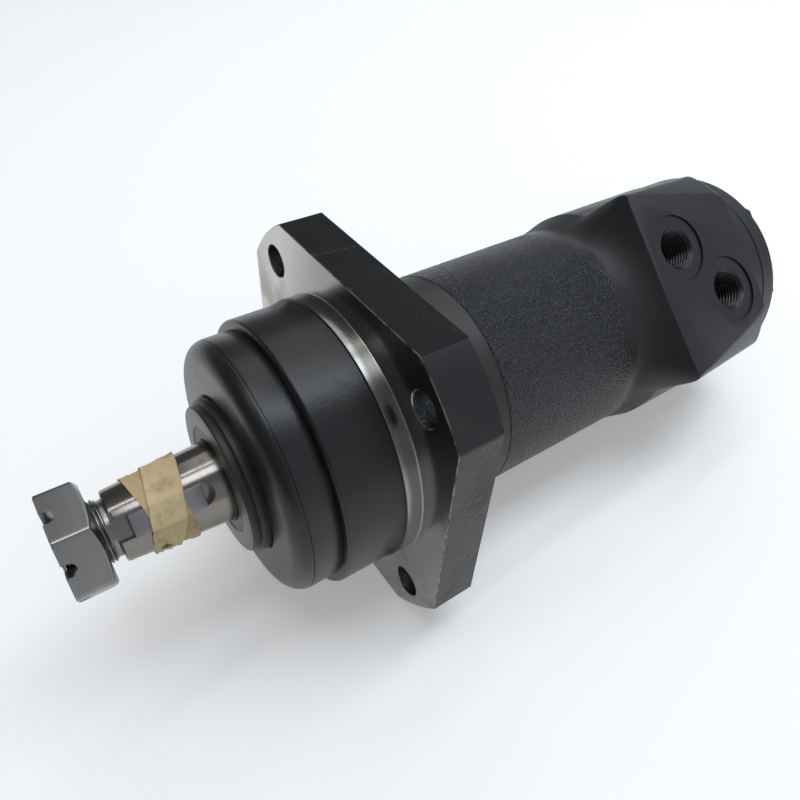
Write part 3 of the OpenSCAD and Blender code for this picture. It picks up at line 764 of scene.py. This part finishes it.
def make_shaft():
    core = thread_r - 0.9
    shaft = turned("shaft_forging", shaft_outline(core), 192)
    thread = threaded_bar(thread_end, -107.7, core, thread_r, thread_pitch, 96)
    ends = turned("ends", [(thread_end, 0), (thread_end, core - 0.3), (thread_end + 1.3, thread_r + 0.1),
                           (-109, thread_r + 0.1), (-107.8, core - 0.2), (-107.8, 0)], 96)
    combine(thread, ends, "INTERSECT")
    combine(shaft, thread, "UNION")
    cut_keyway(shaft)
    centre = turned("centre", [(thread_end - 1, 0), (thread_end - 1, 4.6), (thread_end, 4),
                               (thread_end + 4.2, 1.6), (thread_end + 9, 1.6), (thread_end + 10, 0)], 64)
    combine(shaft, centre)
    pin_hole_r, pin_hole_in, link_bore_r = 2, 2.6, 15
    pin_hole = upright(bar(-20, 20, pin_hole_r, 32))
    moved(pin_hole, Matrix.Translation((thread_end + pin_hole_in, 0, 0)))
    combine(shaft, place(pin_hole, about_x(slot_turn - 90)))
    combine(shaft, bar(160.5, 217, link_bore_r, 64))
    smooth_faces(shaft, 34)
    return shaft


shaft = make_shaft()
print("shaft:", len(shaft.data.vertices), "points")

# %% [markdown]
# ## Nut and key
#
# The slotted nut is a hexagon, chamfered by a cone at both ends. Its radius is the smaller of the two
# shapes, and a soft minimum rounds the edges between them the way tumbling does. Six slots for a split
# pin are milled from the outer end.

# %% Nut and key
nut_front, nut_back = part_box("castle_nut")[0].x / MM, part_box("castle_nut")[1].x / MM
nut_flat = 21
nut_corner = 24.05
nut_lean = 3
slot_half, slot_depth = 2.75, 4.8


def soft_smaller(a, b, width):
    """The smaller of two numbers, with the change from one to the other rounded over width."""
    h = np.clip(0.5 + 0.5 * (b - a) / width, 0, 1)
    return b * (1 - h) + a * h - width * h * (1 - h)


def nut_radius(x, angles):
    front_bevel, front_slope, rear_bevel, rear_slope = 0.7, 1.6, 0.8, 2.05
    sector = (angles - math.radians(nut_lean) + math.pi / 6) % (math.pi / 3) - math.pi / 6
    flat = nut_flat / np.sin(math.pi / 3 + np.abs(sector))
    flat = soft_smaller(flat, nut_corner, 0.5)
    ahead = nut_corner - front_bevel + front_slope * (x - nut_front)
    behind = nut_flat - rear_bevel + rear_slope * (nut_back - x)
    return soft_smaller(soft_smaller(flat, ahead, 0.3), behind, 0.9)


def make_nut():
    end_zone = np.linspace(0, 3.6, 16)
    stations = np.concatenate([nut_front + end_zone, np.linspace(nut_front + 4.2, nut_back - 4.2, 16),
                               nut_back - end_zone[::-1]])
    nut = round_solid("slotted_nut", stations, nut_radius, even(288))
    slot_low, slot_high = 10, 30
    round_at = nut_front + slot_depth - slot_half
    for k in range(6):
        slot = box((nut_front - 1, -slot_half, slot_low), (round_at, slot_half, slot_high))
        bottom = moved(upright(bar(slot_low, slot_high, slot_half, 40)), Matrix.Translation((round_at, 0, 0)))
        combine(slot, bottom, "UNION")
        combine(nut, place(slot, about_x(slot_turn + 60 * k - 90)))
    combine(nut, bar(nut_front - 1, nut_back + 1, thread_r + 0.05, 96))
    wide_r = thread_r + 2.2
    for x0, x1, r0, r1 in ((nut_front - 1, nut_front + 1.2, wide_r, thread_r),
                           (nut_back - 1.2, nut_back + 1, thread_r, wide_r)):
        combine(nut, turned("bevel", [(x0, 0), (x0, r0), (x1, r1), (x1, 0)], 96))
    smooth_faces(nut, 34)
    return nut


def make_key():
    key_front, key_back = -100, -71.5
    key = box((key_front, -key_half, key_floor), (key_back, key_half, key_top))
    key.name = "flat_key"
    change = key.modifiers.new("broken edges", "BEVEL")
    change.width = 0.35 * MM
    change.segments = 2
    mesh = bpy.data.meshes.new_from_object(key.evaluated_get(bpy.context.evaluated_depsgraph_get()))
    key.modifiers.clear()
    key.data = mesh
    smooth_faces(place(key, about_x(key_turn - 90)), 40)
    return key


nut = make_nut()
key = make_key()
print("nut and key:", len(nut.data.vertices), len(key.data.vertices), "points")

# %% [markdown]
# ## Masking tape
#
# Two turns of paper tape keep the key in its slot. They lean opposite ways, so the first shows as a
# corner on each side of the second. A cloth simulation could wrap them, but paper hardly stretches and
# its path is known: it follows the taper except beside the key, where it runs straight from the key's
# corner to the round. That line is worked out from the tangent. Each turn is a thin closed ring with soft
# creases, all from seeded noise.

# %% Tape
key_half_angle = math.atan2(key_half, key_top)
key_corner_r = math.hypot(key_top, key_half)


def stretched_radius(x, angle):
    """Radius of tape pulled tight round the taper and the key."""
    off = abs((angle - math.radians(key_turn) + math.pi) % TURN - math.pi)
    if off < key_half_angle:
        return key_top / math.cos(off)
    r = taper_radius(x)
    tangent = math.acos(r / key_corner_r)
    beyond = off - key_half_angle
    return r / math.cos(tangent - beyond) if beyond < tangent else r


# The two turns cross at this angle, in degrees from +Y towards +Z
crossing_turn = 130
tape_t = 0.22


def tape_turn(name, middle, slant, half_width, pinch, lift, seed):
    """One turn of tape, which leans by slant millimetres, narrows by pinch, and lies lift off the steel."""
    across, around = 34, 300
    top, under = [], []
    for angle in even(around):
        lean = math.sin(angle - math.radians(crossing_turn))
        centre = middle + slant * lean
        fray = 0.3 * noise.noise(Vector((math.cos(angle) * 4, math.sin(angle) * 4, seed)))
        half = half_width + fray - pinch * max(0.0, lean) ** 4
        for i in range(across):
            share = 2 * i / (across - 1) - 1
            x = centre + share * half
            p = Vector((x / 7 + angle * 0.5, math.cos(angle) * 1.7, math.sin(angle) * 1.7 + seed))
            fold = max(0.0, 1 - 5 * abs(noise.noise(p))) ** 2
            crumple = 0.3 * abs(noise.noise(Vector((x / 2.2, angle * 1.2, seed))))
            gathered = crumple * (1 + 2 * max(0.0, lean) ** 4)
            curl = 0.3 * abs(share) ** 8
            r = stretched_radius(x, angle) + lift + 0.3 * fold + gathered + curl
            top.append((x, (r + tape_t) * math.cos(angle), (r + tape_t) * math.sin(angle)))
            under.append((x, r * math.cos(angle), r * math.sin(angle)))
    count = len(top)
    faces = []
    for j in range(around):
        a, b = j * across, (j + 1) % around * across
        for i in range(across - 1):
            faces.append((a + i, b + i, b + i + 1, a + i + 1))
            faces.append((count + a + i, count + a + i + 1, count + b + i + 1, count + b + i))
        faces.append((a, count + a, count + b, b))
        end = across - 1
        faces.append((a + end, b + end, count + b + end, count + a + end))
    return make_piece(name, top + under, faces, 50)


first_turn = tape_turn("tape_first_turn", middle=-86.6, slant=3.4, half_width=7.0,
                       pinch=0.6, lift=0.06, seed=3.0)
second_turn = tape_turn("tape_second_turn", middle=-85.6, slant=-4.4, half_width=6.9,
                        pinch=2.1, lift=0.75, seed=9.0)
print("tape:", len(first_turn.data.vertices) + len(second_turn.data.vertices), "points")

# %% [markdown]
# ## Finishes
#
# The motor is sprayed black over everything but the pilot and the flange face, which stay bare because
# they seat on the machine. The colour of the paint stays nearly even. What makes it look real is how the
# gloss and the small relief change from place to place, so most effects feed the roughness and the
# height.

# %% A material and its helper
def new_material(name, roughness=0.5, metallic=0.0, specular=0.5):
    material = bpy.data.materials.new(name)
    material.use_nodes = True
    n = Nodes(material.node_tree)
    n.tree.nodes.clear()
    shader = n.add("ShaderNodeBsdfPrincipled")
    n.join(shader.outputs[0], n.add("ShaderNodeOutputMaterial").inputs[0])
    shader.inputs["Roughness"].default_value = roughness
    shader.inputs["Metallic"].default_value = metallic
    shader.inputs["Specular IOR Level"].default_value = specular
    where = n.add("ShaderNodeTexCoord").outputs["Object"]
    return material, n, shader, where


def relief(n, shader, height, distance):
    """Feeds a height, in units of distance metres, to the shader through a Bump node."""
    bump = n.add("ShaderNodeBump")
    bump.inputs["Distance"].default_value = distance
    bump.inputs["Strength"].default_value = 1.0
    n.join(height, bump.inputs["Height"])
    n.join(bump.outputs[0], shader.inputs["Normal"])


def grey(value, warm=0.0):
    return (value * (1 + warm), value, value * (1 - warm), 1)


# %% [markdown]
# ## Paints
#
# One spray gun painted everything, but the ground under the paint differs. Over the casting's skin the
# relief is strong and the gloss breaks up. Over turned faces it is smooth, with a trace of orange peel.
# Over the sawn flats of the flange it is dull above and rubbed smoother at the sides. So there are three
# kinds of black, and the smooth one takes its gloss range as values.

# %% Paints
black_deep, black_dusty = (0.0085, 0.0092, 0.0105, 1), (0.0155, 0.0158, 0.0165, 1)


def cast_paint():
    """Sprayed black over the skin of the casting: crisp pebbles on the body, nearly smooth elsewhere."""
    material, n, shader, where = new_material("black paint on iron", specular=0.45)
    skin = n.group(cast_skin, Vector=where, Size=0.0009)
    dirt = n.group(grime, Vector=where, Size=0.035, Amount=0.45)
    parts = n.add("ShaderNodeSeparateXYZ")
    n.join(where, parts.inputs[0])
    station = parts.outputs[0]
    on_rise = n.math("MULTIPLY", n.range(station, (rise_from - 5) * MM, (rise_from + 5) * MM),
                     n.range(station, (rise_to + 6) * MM, (rise_to - 2) * MM))
    gloss = n.range(dirt.outputs[0], 0, 1, 0.33, 0.46)
    n.join(n.math("ADD", gloss, n.math("MULTIPLY", on_rise, 0.2)), shader.inputs["Roughness"])
    rough_zone = n.math("MULTIPLY", n.range(station, band_end * MM, (band_end + 0.8) * MM),
                        n.range(station, rise_from * MM, (rise_from - 11) * MM))
    plain = n.mix(dirt.outputs[0], black_deep, black_dusty)
    pebbled = n.mix(dirt.outputs[0], (0.015, 0.0168, 0.019, 1), (0.022, 0.024, 0.0265, 1))
    n.join(n.mix(rough_zone, plain, pebbled), shader.inputs["Base Color"])
    least = 0.025
    amount = n.math("ADD", least, n.math("MULTIPLY", rough_zone, 1 - least))
    relief(n, shader, n.math("MULTIPLY", skin.outputs["Height"], amount), 0.00075)
    return material


def sawn_paint(name, specular):
    """Black on the flange's flat sides, with fine specks and one scuff across the upper one."""
    material, n, shader, where = new_material(name, specular=specular)
    dirt = n.group(grime, Vector=where, Size=0.03, Amount=0.5)
    specks = n.range(n.noise(where, 800, 1.0), 0.68, 0.74)
    parts = n.add("ShaderNodeSeparateXYZ")
    n.join(where, parts.inputs[0])
    scuff_y, scuff_lean, scuff_half = 0.0229, 0.14, 0.00032
    along = n.math("ADD", parts.outputs["Y"], n.math("MULTIPLY", parts.outputs["X"], scuff_lean))
    wavy = n.math("ADD", along, n.math("MULTIPLY", n.noise(where, 260, 4.0), 0.0014))
    off = n.math("ABSOLUTE", n.math("SUBTRACT", wavy, scuff_y))
    on_top = n.range(parts.outputs["Z"], (half_side - 1.75) * MM, (half_side - 0.75) * MM)
    scuff = n.math("MULTIPLY", n.range(off, scuff_half, 0.0), on_top)
    broken = n.math("MULTIPLY", scuff, n.range(n.noise(where, 900, 2.0), 0.42, 0.55))
    marks = n.math("MAXIMUM", n.math("MULTIPLY", specks, 0.4), broken)
    ground = n.mix(dirt.outputs[0], black_deep, black_dusty)
    n.join(n.mix(marks, ground, (0.09, 0.088, 0.08, 1)), shader.inputs["Base Color"])
    n.join(n.range(dirt.outputs[0], 0, 1, 0.42, 0.55), shader.inputs["Roughness"])
    relief(n, shader, n.noise(where, 700, 3.0), 0.00012)
    return material


def smooth_paint(name, smoothest, dullest, deep=black_deep, dusty=black_dusty):
    """The same paint on turned surfaces: a soft gloss with a trace of orange peel, and a few rubbed marks."""
    material, n, shader, where = new_material(name, specular=0.45)
    dirt = n.group(grime, Vector=where, Size=0.03, Amount=0.4)
    marks = n.group(scratches, Vector=where, Size=0.0016)
    peel = n.noise(where, 900, 2.0)
    ground = n.mix(dirt.outputs[0], deep, dusty)
    n.join(n.mix(n.math("MULTIPLY", marks.outputs[0], 0.35), ground, (0.05, 0.05, 0.05, 1)),
           shader.inputs["Base Color"])
    n.join(n.range(dirt.outputs[0], 0, 1, smoothest, dullest), shader.inputs["Roughness"])
    relief(n, shader, peel, 0.00006)
    return material


# %% [markdown]
# ## Bare metals
#
# Bare iron and steel show the room more than their own colour, so their greys are dark and their relief
# is tiny. The face of the flange was turned, and its grooves stretch each highlight across them.
# Anisotropy with a tangent round the shaft does that, where bump would need grooves finer than a pixel.
# Oil and fingers leave films, which the grime effect gives. The turned face is also painted lighter towards
# its upper-left corner, as a painted reflection.

# %% Bare metals
def bare_face():
    """Turned iron that was left unpainted: painted lighter towards the upper-left corner as a painted
    reflection, and under a dark film of oil elsewhere.
    """
    material, n, shader, where = new_material("bare turned iron", metallic=1.0)
    shader.inputs["Anisotropic"].default_value = 0.55
    tangent = n.add("ShaderNodeTangent", direction_type="RADIAL", axis="X")
    n.join(tangent.outputs[0], shader.inputs["Tangent"])
    rings = n.group(lathe_rings, Vector=where, Pitch=0.0006)
    film = n.group(grime, Vector=where, Size=0.045, Amount=0.5)
    parts = n.add("ShaderNodeSeparateXYZ")
    n.join(where, parts.inputs[0])
    # Painted reflection: the base colour is lighter towards the upper-left corner of the face, standing in
    # for the bright reflection there. Elsewhere a dark film of oil dulls it.
    upper_left = n.math("ADD", parts.outputs["Y"], n.math("MULTIPLY", parts.outputs["Z"], 0.4))
    ragged = n.math("ADD", upper_left, n.math("MULTIPLY", film.outputs[0], -0.008))
    highlight_starts, highlight_full = 0.04, 0.084
    painted_highlight = n.range(ragged, highlight_starts, highlight_full)
    oiled = n.mix(rings.outputs["Streak"], (0.2, 0.197, 0.19, 1), (0.36, 0.354, 0.335, 1))
    dulled = n.mix(n.math("MULTIPLY", film.outputs[0], 0.7), oiled, (0.11, 0.104, 0.095, 1))
    clean = n.mix(film.outputs[0], (0.52, 0.51, 0.485, 1), (0.38, 0.36, 0.315, 1))
    n.join(n.mix(painted_highlight, dulled, clean), shader.inputs["Base Color"])
    n.join(n.range(film.outputs[0], 0, 1, 0.2, 0.32), shader.inputs["Roughness"])
    relief(n, shader, rings.outputs["Height"], 0.000006)
    return material


def worn_edge():
    """A sharp edge where the paint has rubbed through to iron that has begun to brown."""
    material, n, shader, where = new_material("worn edge", roughness=0.42)
    rubbed = n.group(grime, Vector=where, Size=0.006, Amount=0.75)
    n.join(n.mix(rubbed.outputs[0], black_dusty, (0.33, 0.28, 0.23, 1)), shader.inputs["Base Color"])
    n.join(n.math("MULTIPLY", rubbed.outputs[0], 0.9), shader.inputs["Metallic"])
    return material


def drilled_bore():
    """The wall of a drilled hole: dark, with ragged tool marks that glint."""
    material, n, shader, where = new_material("drilled wall", roughness=0.3, metallic=1.0)
    marks = n.noise(where, 700, 5.0, 0.7)
    n.join(n.mix(n.range(marks, 0.45, 0.7), grey(0.11, -0.08), grey(0.28)), shader.inputs["Base Color"])
    relief(n, shader, marks, 0.0005)
    return material


def steel(name, low, high, roughness, pitch=0.0003, warm=0.02, depth=0.00001, film_amount=0.3):
    """Turned or ground steel: two shades of grey, rings round the shaft, and a thin film of oil."""
    material, n, shader, where = new_material(name, metallic=1.0)
    rings = n.group(lathe_rings, Vector=where, Pitch=pitch)
    film = n.group(grime, Vector=where, Size=0.012, Amount=film_amount)
    clean = n.mix(rings.outputs["Streak"], grey(low, warm), grey(high, warm))
    n.join(n.mix(n.math("MULTIPLY", film.outputs[0], 0.5), clean, grey(low * 0.6, warm * 2)),
           shader.inputs["Base Color"])
    n.join(n.range(film.outputs[0], 0, 1, roughness, roughness + 0.12), shader.inputs["Roughness"])
    relief(n, shader, rings.outputs["Height"], depth)
    return material


# %% [markdown]
# ## Paper and rubber
#
# Masking tape is crepe paper. Its ribs are a noise that is squeezed along the shaft, and its beige goes
# darker in random patches. Rubber is nearly black and collects dust in its dull places.

# %% Paper and rubber
def paper_tape(name, light, dark, stain_at=None):
    """Crepe paper: fine ribs across the tape, a warm beige that darkens in random patches, and one brown
    stain.
    """
    material, n, shader, where = new_material(name, roughness=0.62, specular=0.3)
    stretch = n.add("ShaderNodeMapping")
    n.join(where, stretch.inputs["Vector"])
    stretch.inputs["Scale"].default_value = (0.25, 1, 1)
    crepe = n.noise(stretch.outputs[0], 1800)
    blotches = n.group(grime, Vector=where, Size=0.008, Amount=0.5)
    paper = n.mix(blotches.outputs[0], light, dark)
    if stain_at:
        away = n.add("ShaderNodeVectorMath", operation="DISTANCE")
        n.join(where, away.inputs[0])
        away.inputs[1].default_value = stain_at
        ragged = n.math("ADD", away.outputs["Value"], n.math("MULTIPLY", n.noise(where, 450, 3.0), 0.004))
        paper = n.mix(n.range(ragged, 0.0052, 0.0032), paper, (0.14, 0.075, 0.032, 1))
    n.join(paper, shader.inputs["Base Color"])
    relief(n, shader, crepe, 0.0001)
    return material


def rubber(name, dark, dust_colour, amount):
    material, n, shader, where = new_material(name, specular=0.4)
    dust = n.group(grime, Vector=where, Size=0.0035, Amount=amount)
    n.join(n.mix(dust.outputs[0], dark, dust_colour), shader.inputs["Base Color"])
    n.join(n.range(dust.outputs[0], 0, 1, 0.42, 0.65), shader.inputs["Roughness"])
    relief(n, shader, dust.outputs[0], 0.00005)
    return material


# %% [markdown]
# ## The finishes in use
#
# Each finish is now one call with its own values, so two of them are easy to compare. The steels differ as
# they do on the bench: the ground shaft mirrors the room, the thread holds a film of oil, and the pressed
# case of the seal is dull. The turn of tape underneath is given a darker beige than the one on top, as
# painted shade.

# %% The finishes in use
stain_x, stain_r, stain_angle = -0.0905, 0.0172, math.radians(196)
stain_place = (stain_x, stain_r * math.cos(stain_angle), stain_r * math.sin(stain_angle))
casting_paint = cast_paint()
matt_flat = sawn_paint("matt black on sawn iron", 0.1)
glossy_flat = sawn_paint("worn smooth black on sawn iron", 0.55)
black_paint = smooth_paint("satin black paint", 0.32, 0.44)
band_paint = smooth_paint("dull black paint", 0.46, 0.56, grey(0.02), grey(0.032))
bare_iron = bare_face()
rubbed_edge = worn_edge()
bore_wall = drilled_bore()
polished = steel("polished shaft", 0.17, 0.24, 0.17, pitch=0.0002, warm=0.08)
oily_steel = steel("oily thread", 0.2, 0.28, 0.3, warm=0.02, film_amount=0.4)
nut_steel = steel("nut steel", 0.23, 0.3, 0.3, pitch=0.0005, warm=0.02, depth=0.00002)
key_steel = steel("key steel", 0.27, 0.34, 0.38, warm=0.0)
case_steel = steel("seal case steel", 0.15, 0.19, 0.46, warm=0.0)
bearing_steel = steel("hardened steel", 0.5, 0.62, 0.16, warm=0.0)
copper = steel("copper washer", 0.42, 0.5, 0.3, warm=0.4)
tape_outer = paper_tape("masking tape", (0.63, 0.5, 0.28, 1), (0.45, 0.34, 0.175, 1), stain_place)
# Painted shade: the turn underneath has a darker beige than the top turn, as if it lay in that turn's shadow.
tape_under_painted_shade = paper_tape("masking tape under, painted shade", (0.52, 0.405, 0.215, 1), (0.34, 0.25, 0.13, 1))
seal_rubber = rubber("black rubber", grey(0.012), grey(0.03, 0.05), 0.4)
lip_rubber = rubber("dusty lip", grey(0.012), (0.3, 0.27, 0.2, 1), 0.35)
print("materials:", len(bpy.data.materials))

# %% [markdown]
# ## Dressing the pieces
#
# Each new piece gets its finish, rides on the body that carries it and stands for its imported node. The
# casting takes several finishes. They could be painted by hand, but each zone has a plain rule, such as a
# radius or a station, so a rule for the middle of each face chooses them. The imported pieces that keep
# their own mesh take a finish by name.

# %% Finishes on pieces
def dress(piece, material, body, slot, *nodes):
    piece.data.materials.clear()
    piece.data.materials.append(material)
    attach(piece, body)
    if nodes:
        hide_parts(*nodes)


def finish_faces(piece, material, chosen):
    """Gives a second finish to the faces for which chosen(middle, radius, normal) is true."""
    piece.data.materials.append(material)
    slot = len(piece.data.materials) - 1
    count = 0
    for face in piece.data.polygons:
        middle = face.center / MM
        if chosen(middle, math.hypot(middle.y, middle.z), face.normal):
            face.material_index = slot
            count += 1
    return count


def on_bare(p, r, normal):
    on_pilot = pilot_front + 0.5 < p.x < 0.1 and r > pilot_r - 1.2
    return on_pilot or (-0.1 < p.x < 0.9 and r > pilot_r and normal.x < -0.3)


def on_edge(p, r, normal):
    return 0.01 < p.x < 0.5 and r > half_side - 1 and -0.97 < normal.x < -0.2


def on_top_flat(p, r, normal):
    return 0.4 < p.x < flange_t - 0.3 and abs(p.z) > half_side - 0.7


def on_side_flat(p, r, normal):
    return 0.4 < p.x < flange_t - 0.3 and abs(p.y) > half_side - 0.7


def on_hole_wall(p, r, normal):
    off = math.hypot(abs(p.y) - bolt_r / math.sqrt(2), abs(p.z) - bolt_r / math.sqrt(2))
    return off < hole_r + 0.2 and 0.6 < p.x < flange_t


def on_drum(p, r, normal):
    return p.x < pilot_front + 0.5


def on_band(p, r, normal):
    return flange_t + 0.6 < p.x < band_end + 0.2


# %% Every new piece gets its finish
dress(casting, casting_paint, "casing", "housing_paint", "housing")
print("drum faces:", finish_faces(casting, black_paint, on_drum))
print("band faces:", finish_faces(casting, band_paint, on_band))
print("sawn faces:", finish_faces(casting, matt_flat, on_top_flat))
print("side faces:", finish_faces(casting, glossy_flat, on_side_flat))
print("bare faces:", finish_faces(casting, bare_iron, on_bare))
print("worn edge faces:", finish_faces(casting, rubbed_edge, on_edge))
print("hole wall faces:", finish_faces(casting, bore_wall, on_hole_wall))
dress(cap, black_paint, "casing", "cap_paint", "front_cap")
dress(seal_case, band_paint, "casing", "seal_case_steel", "dust_seal_case")
print("seal face:", finish_faces(seal_case, case_steel, lambda p, r, normal: p.x < -61 and r < 32.6))
dress(shaft, polished, "shaft", "machined_steel", "output_shaft")
print("thread faces:", finish_faces(shaft, oily_steel, lambda p, r, normal: p.x < taper_front - 0.1))
dress(nut, nut_steel, "shaft", "machined_steel", "castle_nut")
dress(key, key_steel, "shaft", "machined_steel", "shaft_key")
dress(first_turn, tape_under_painted_shade, "shaft", "tape", "masking_tape")
dress(second_turn, tape_outer, "shaft", "tape", "masking_tape")

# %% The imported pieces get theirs
packed_finish = {
    "dust_seal_lip": lip_rubber, "shaft_seal": seal_rubber, "cap_o_ring": seal_rubber,
    "housing_seal_ring": seal_rubber, "plate_seal_ring": seal_rubber, "cover_seal_ring": seal_rubber,
    "spacer_plate": black_paint, "gear_ring": black_paint, "end_cover": black_paint,
    "cover_screws": black_paint, "screw_washers": black_paint,
    "drain_plug": nut_steel, "drain_washer": copper}
for name, node in frame["nodes"].items():
    node.data.materials.clear()
    node.data.materials.append(packed_finish.get(name, bearing_steel))
    smooth_faces(node, 30)
print("packed pieces dressed:", len(frame["nodes"]))

# %% [markdown]
# ## Floor and light
#
# The motor lies on the edge of its flange and on the rim of its rear cover, so in its own frame the floor
# is a little tilted. A long soft box over the motor gives the broad highlight along the drum and the
# body, and a narrow strip beside it adds the bright line on the shaft. A wide box beyond the ports lifts
# the shadows. The sky is dim ahead of the shaft and brighter behind the ports, so the black paint stays
# black, and the white floor is what the undersides and the bare metal mirror.

# %% Floor
def make_floor():
    """A white floor under the flange's lower edge and the rim of the rear cover."""
    flange_rest = Vector((flange_t / 2, 0, -half_side))
    cover_rest = Vector((249, 0, -58))
    gap, reach = 0.3, 4000
    run = (cover_rest - flange_rest).normalized()
    across = Vector((0, 1, 0))
    up = run.cross(across).normalized()
    up = up if up.z > 0 else -up
    middle = flange_rest + run * 100 - up * gap
    corners = [middle + (run * a + across * b) * reach for a, b in ((-1, -1), (1, -1), (1, 1), (-1, 1))]
    floor = make_piece("floor", corners, [(0, 1, 2, 3)])
    material = bpy.data.materials.new("white floor")
    material.use_nodes = True
    n = Nodes(material.node_tree)
    n.tree.nodes.clear()
    shader = n.add("ShaderNodeBsdfPrincipled")
    shader.inputs["Base Color"].default_value = (0.85, 0.85, 0.85, 1)
    shader.inputs["Roughness"].default_value = 0.7
    shader.inputs["Emission Color"].default_value = (1, 1, 1, 1)
    ray = n.add("ShaderNodeLightPath")
    seen = n.math("MAXIMUM", ray.outputs["Is Camera Ray"],
                  n.math("MAXIMUM", ray.outputs["Is Glossy Ray"], ray.outputs["Is Transmission Ray"]))
    n.join(n.math("MULTIPLY", seen, 0.28), shader.inputs["Emission Strength"])
    n.join(shader.outputs[0], n.add("ShaderNodeOutputMaterial").inputs[0])
    floor.data.materials.append(material)


# %% Lamps
lamp_distance = 2.2


def lamp(name, direction, size, watts, colour=(1, 1, 1)):
    """A soft box in the given direction from the motor, its long side along the shaft."""
    data = bpy.data.lights.new(name, "AREA")
    data.shape = "RECTANGLE"
    data.size, data.size_y = size
    data.energy = watts
    data.color = colour
    light = bpy.data.objects.new(name, data)
    way = Vector(direction).normalized()
    along = (Vector((1, 0, 0)) - way * way.x).normalized()
    turn = Matrix((along, way.cross(along), way)).transposed().to_4x4()
    light.matrix_world = Matrix.Translation(way * lamp_distance) @ turn
    bpy.context.scene.collection.objects.link(light)


# %% Sky
def make_sky():
    """Dark ahead of the shaft and on its far side, brighter behind the ports, and even overhead."""
    world = bpy.data.worlds.new("sky")
    world.use_nodes = True
    bpy.context.scene.world = world
    n = Nodes(world.node_tree)
    n.tree.nodes.clear()
    split = n.add("ShaderNodeSeparateXYZ")
    n.join(n.add("ShaderNodeTexCoord").outputs["Generated"], split.inputs[0])
    to_window = n.math("SUBTRACT", n.math("MULTIPLY", split.outputs["X"], 0.8),
                       n.math("MULTIPLY", split.outputs["Y"], 0.6))
    horizon = n.mix(n.range(to_window, -0.4, 0.9), (0.15, 0.155, 0.16, 1), (0.54, 0.57, 0.61, 1))
    share = n.range(split.outputs["Z"], 0.6, 0.95)
    back = n.add("ShaderNodeBackground")
    n.join(n.mix(share, horizon, (0.24, 0.25, 0.265, 1)), back.inputs["Color"])
    n.join(back.outputs[0], n.add("ShaderNodeOutputWorld").inputs[0])


make_floor()
lamp("key lamp", (0.22, -0.11, 0.96), (2.7, 0.7), 24, (0.88, 0.94, 1))
lamp("strip lamp", (-0.15, 0.2, 0.96), (2.4, 0.16), 6.5)
lamp("fill lamp", (0.42, 0.48, 0.72), (2.2, 1.4), 9, (0.93, 0.965, 1))
make_sky()
bpy.context.scene.view_settings.view_transform = "Standard"
print("floor, lamps and sky are set")
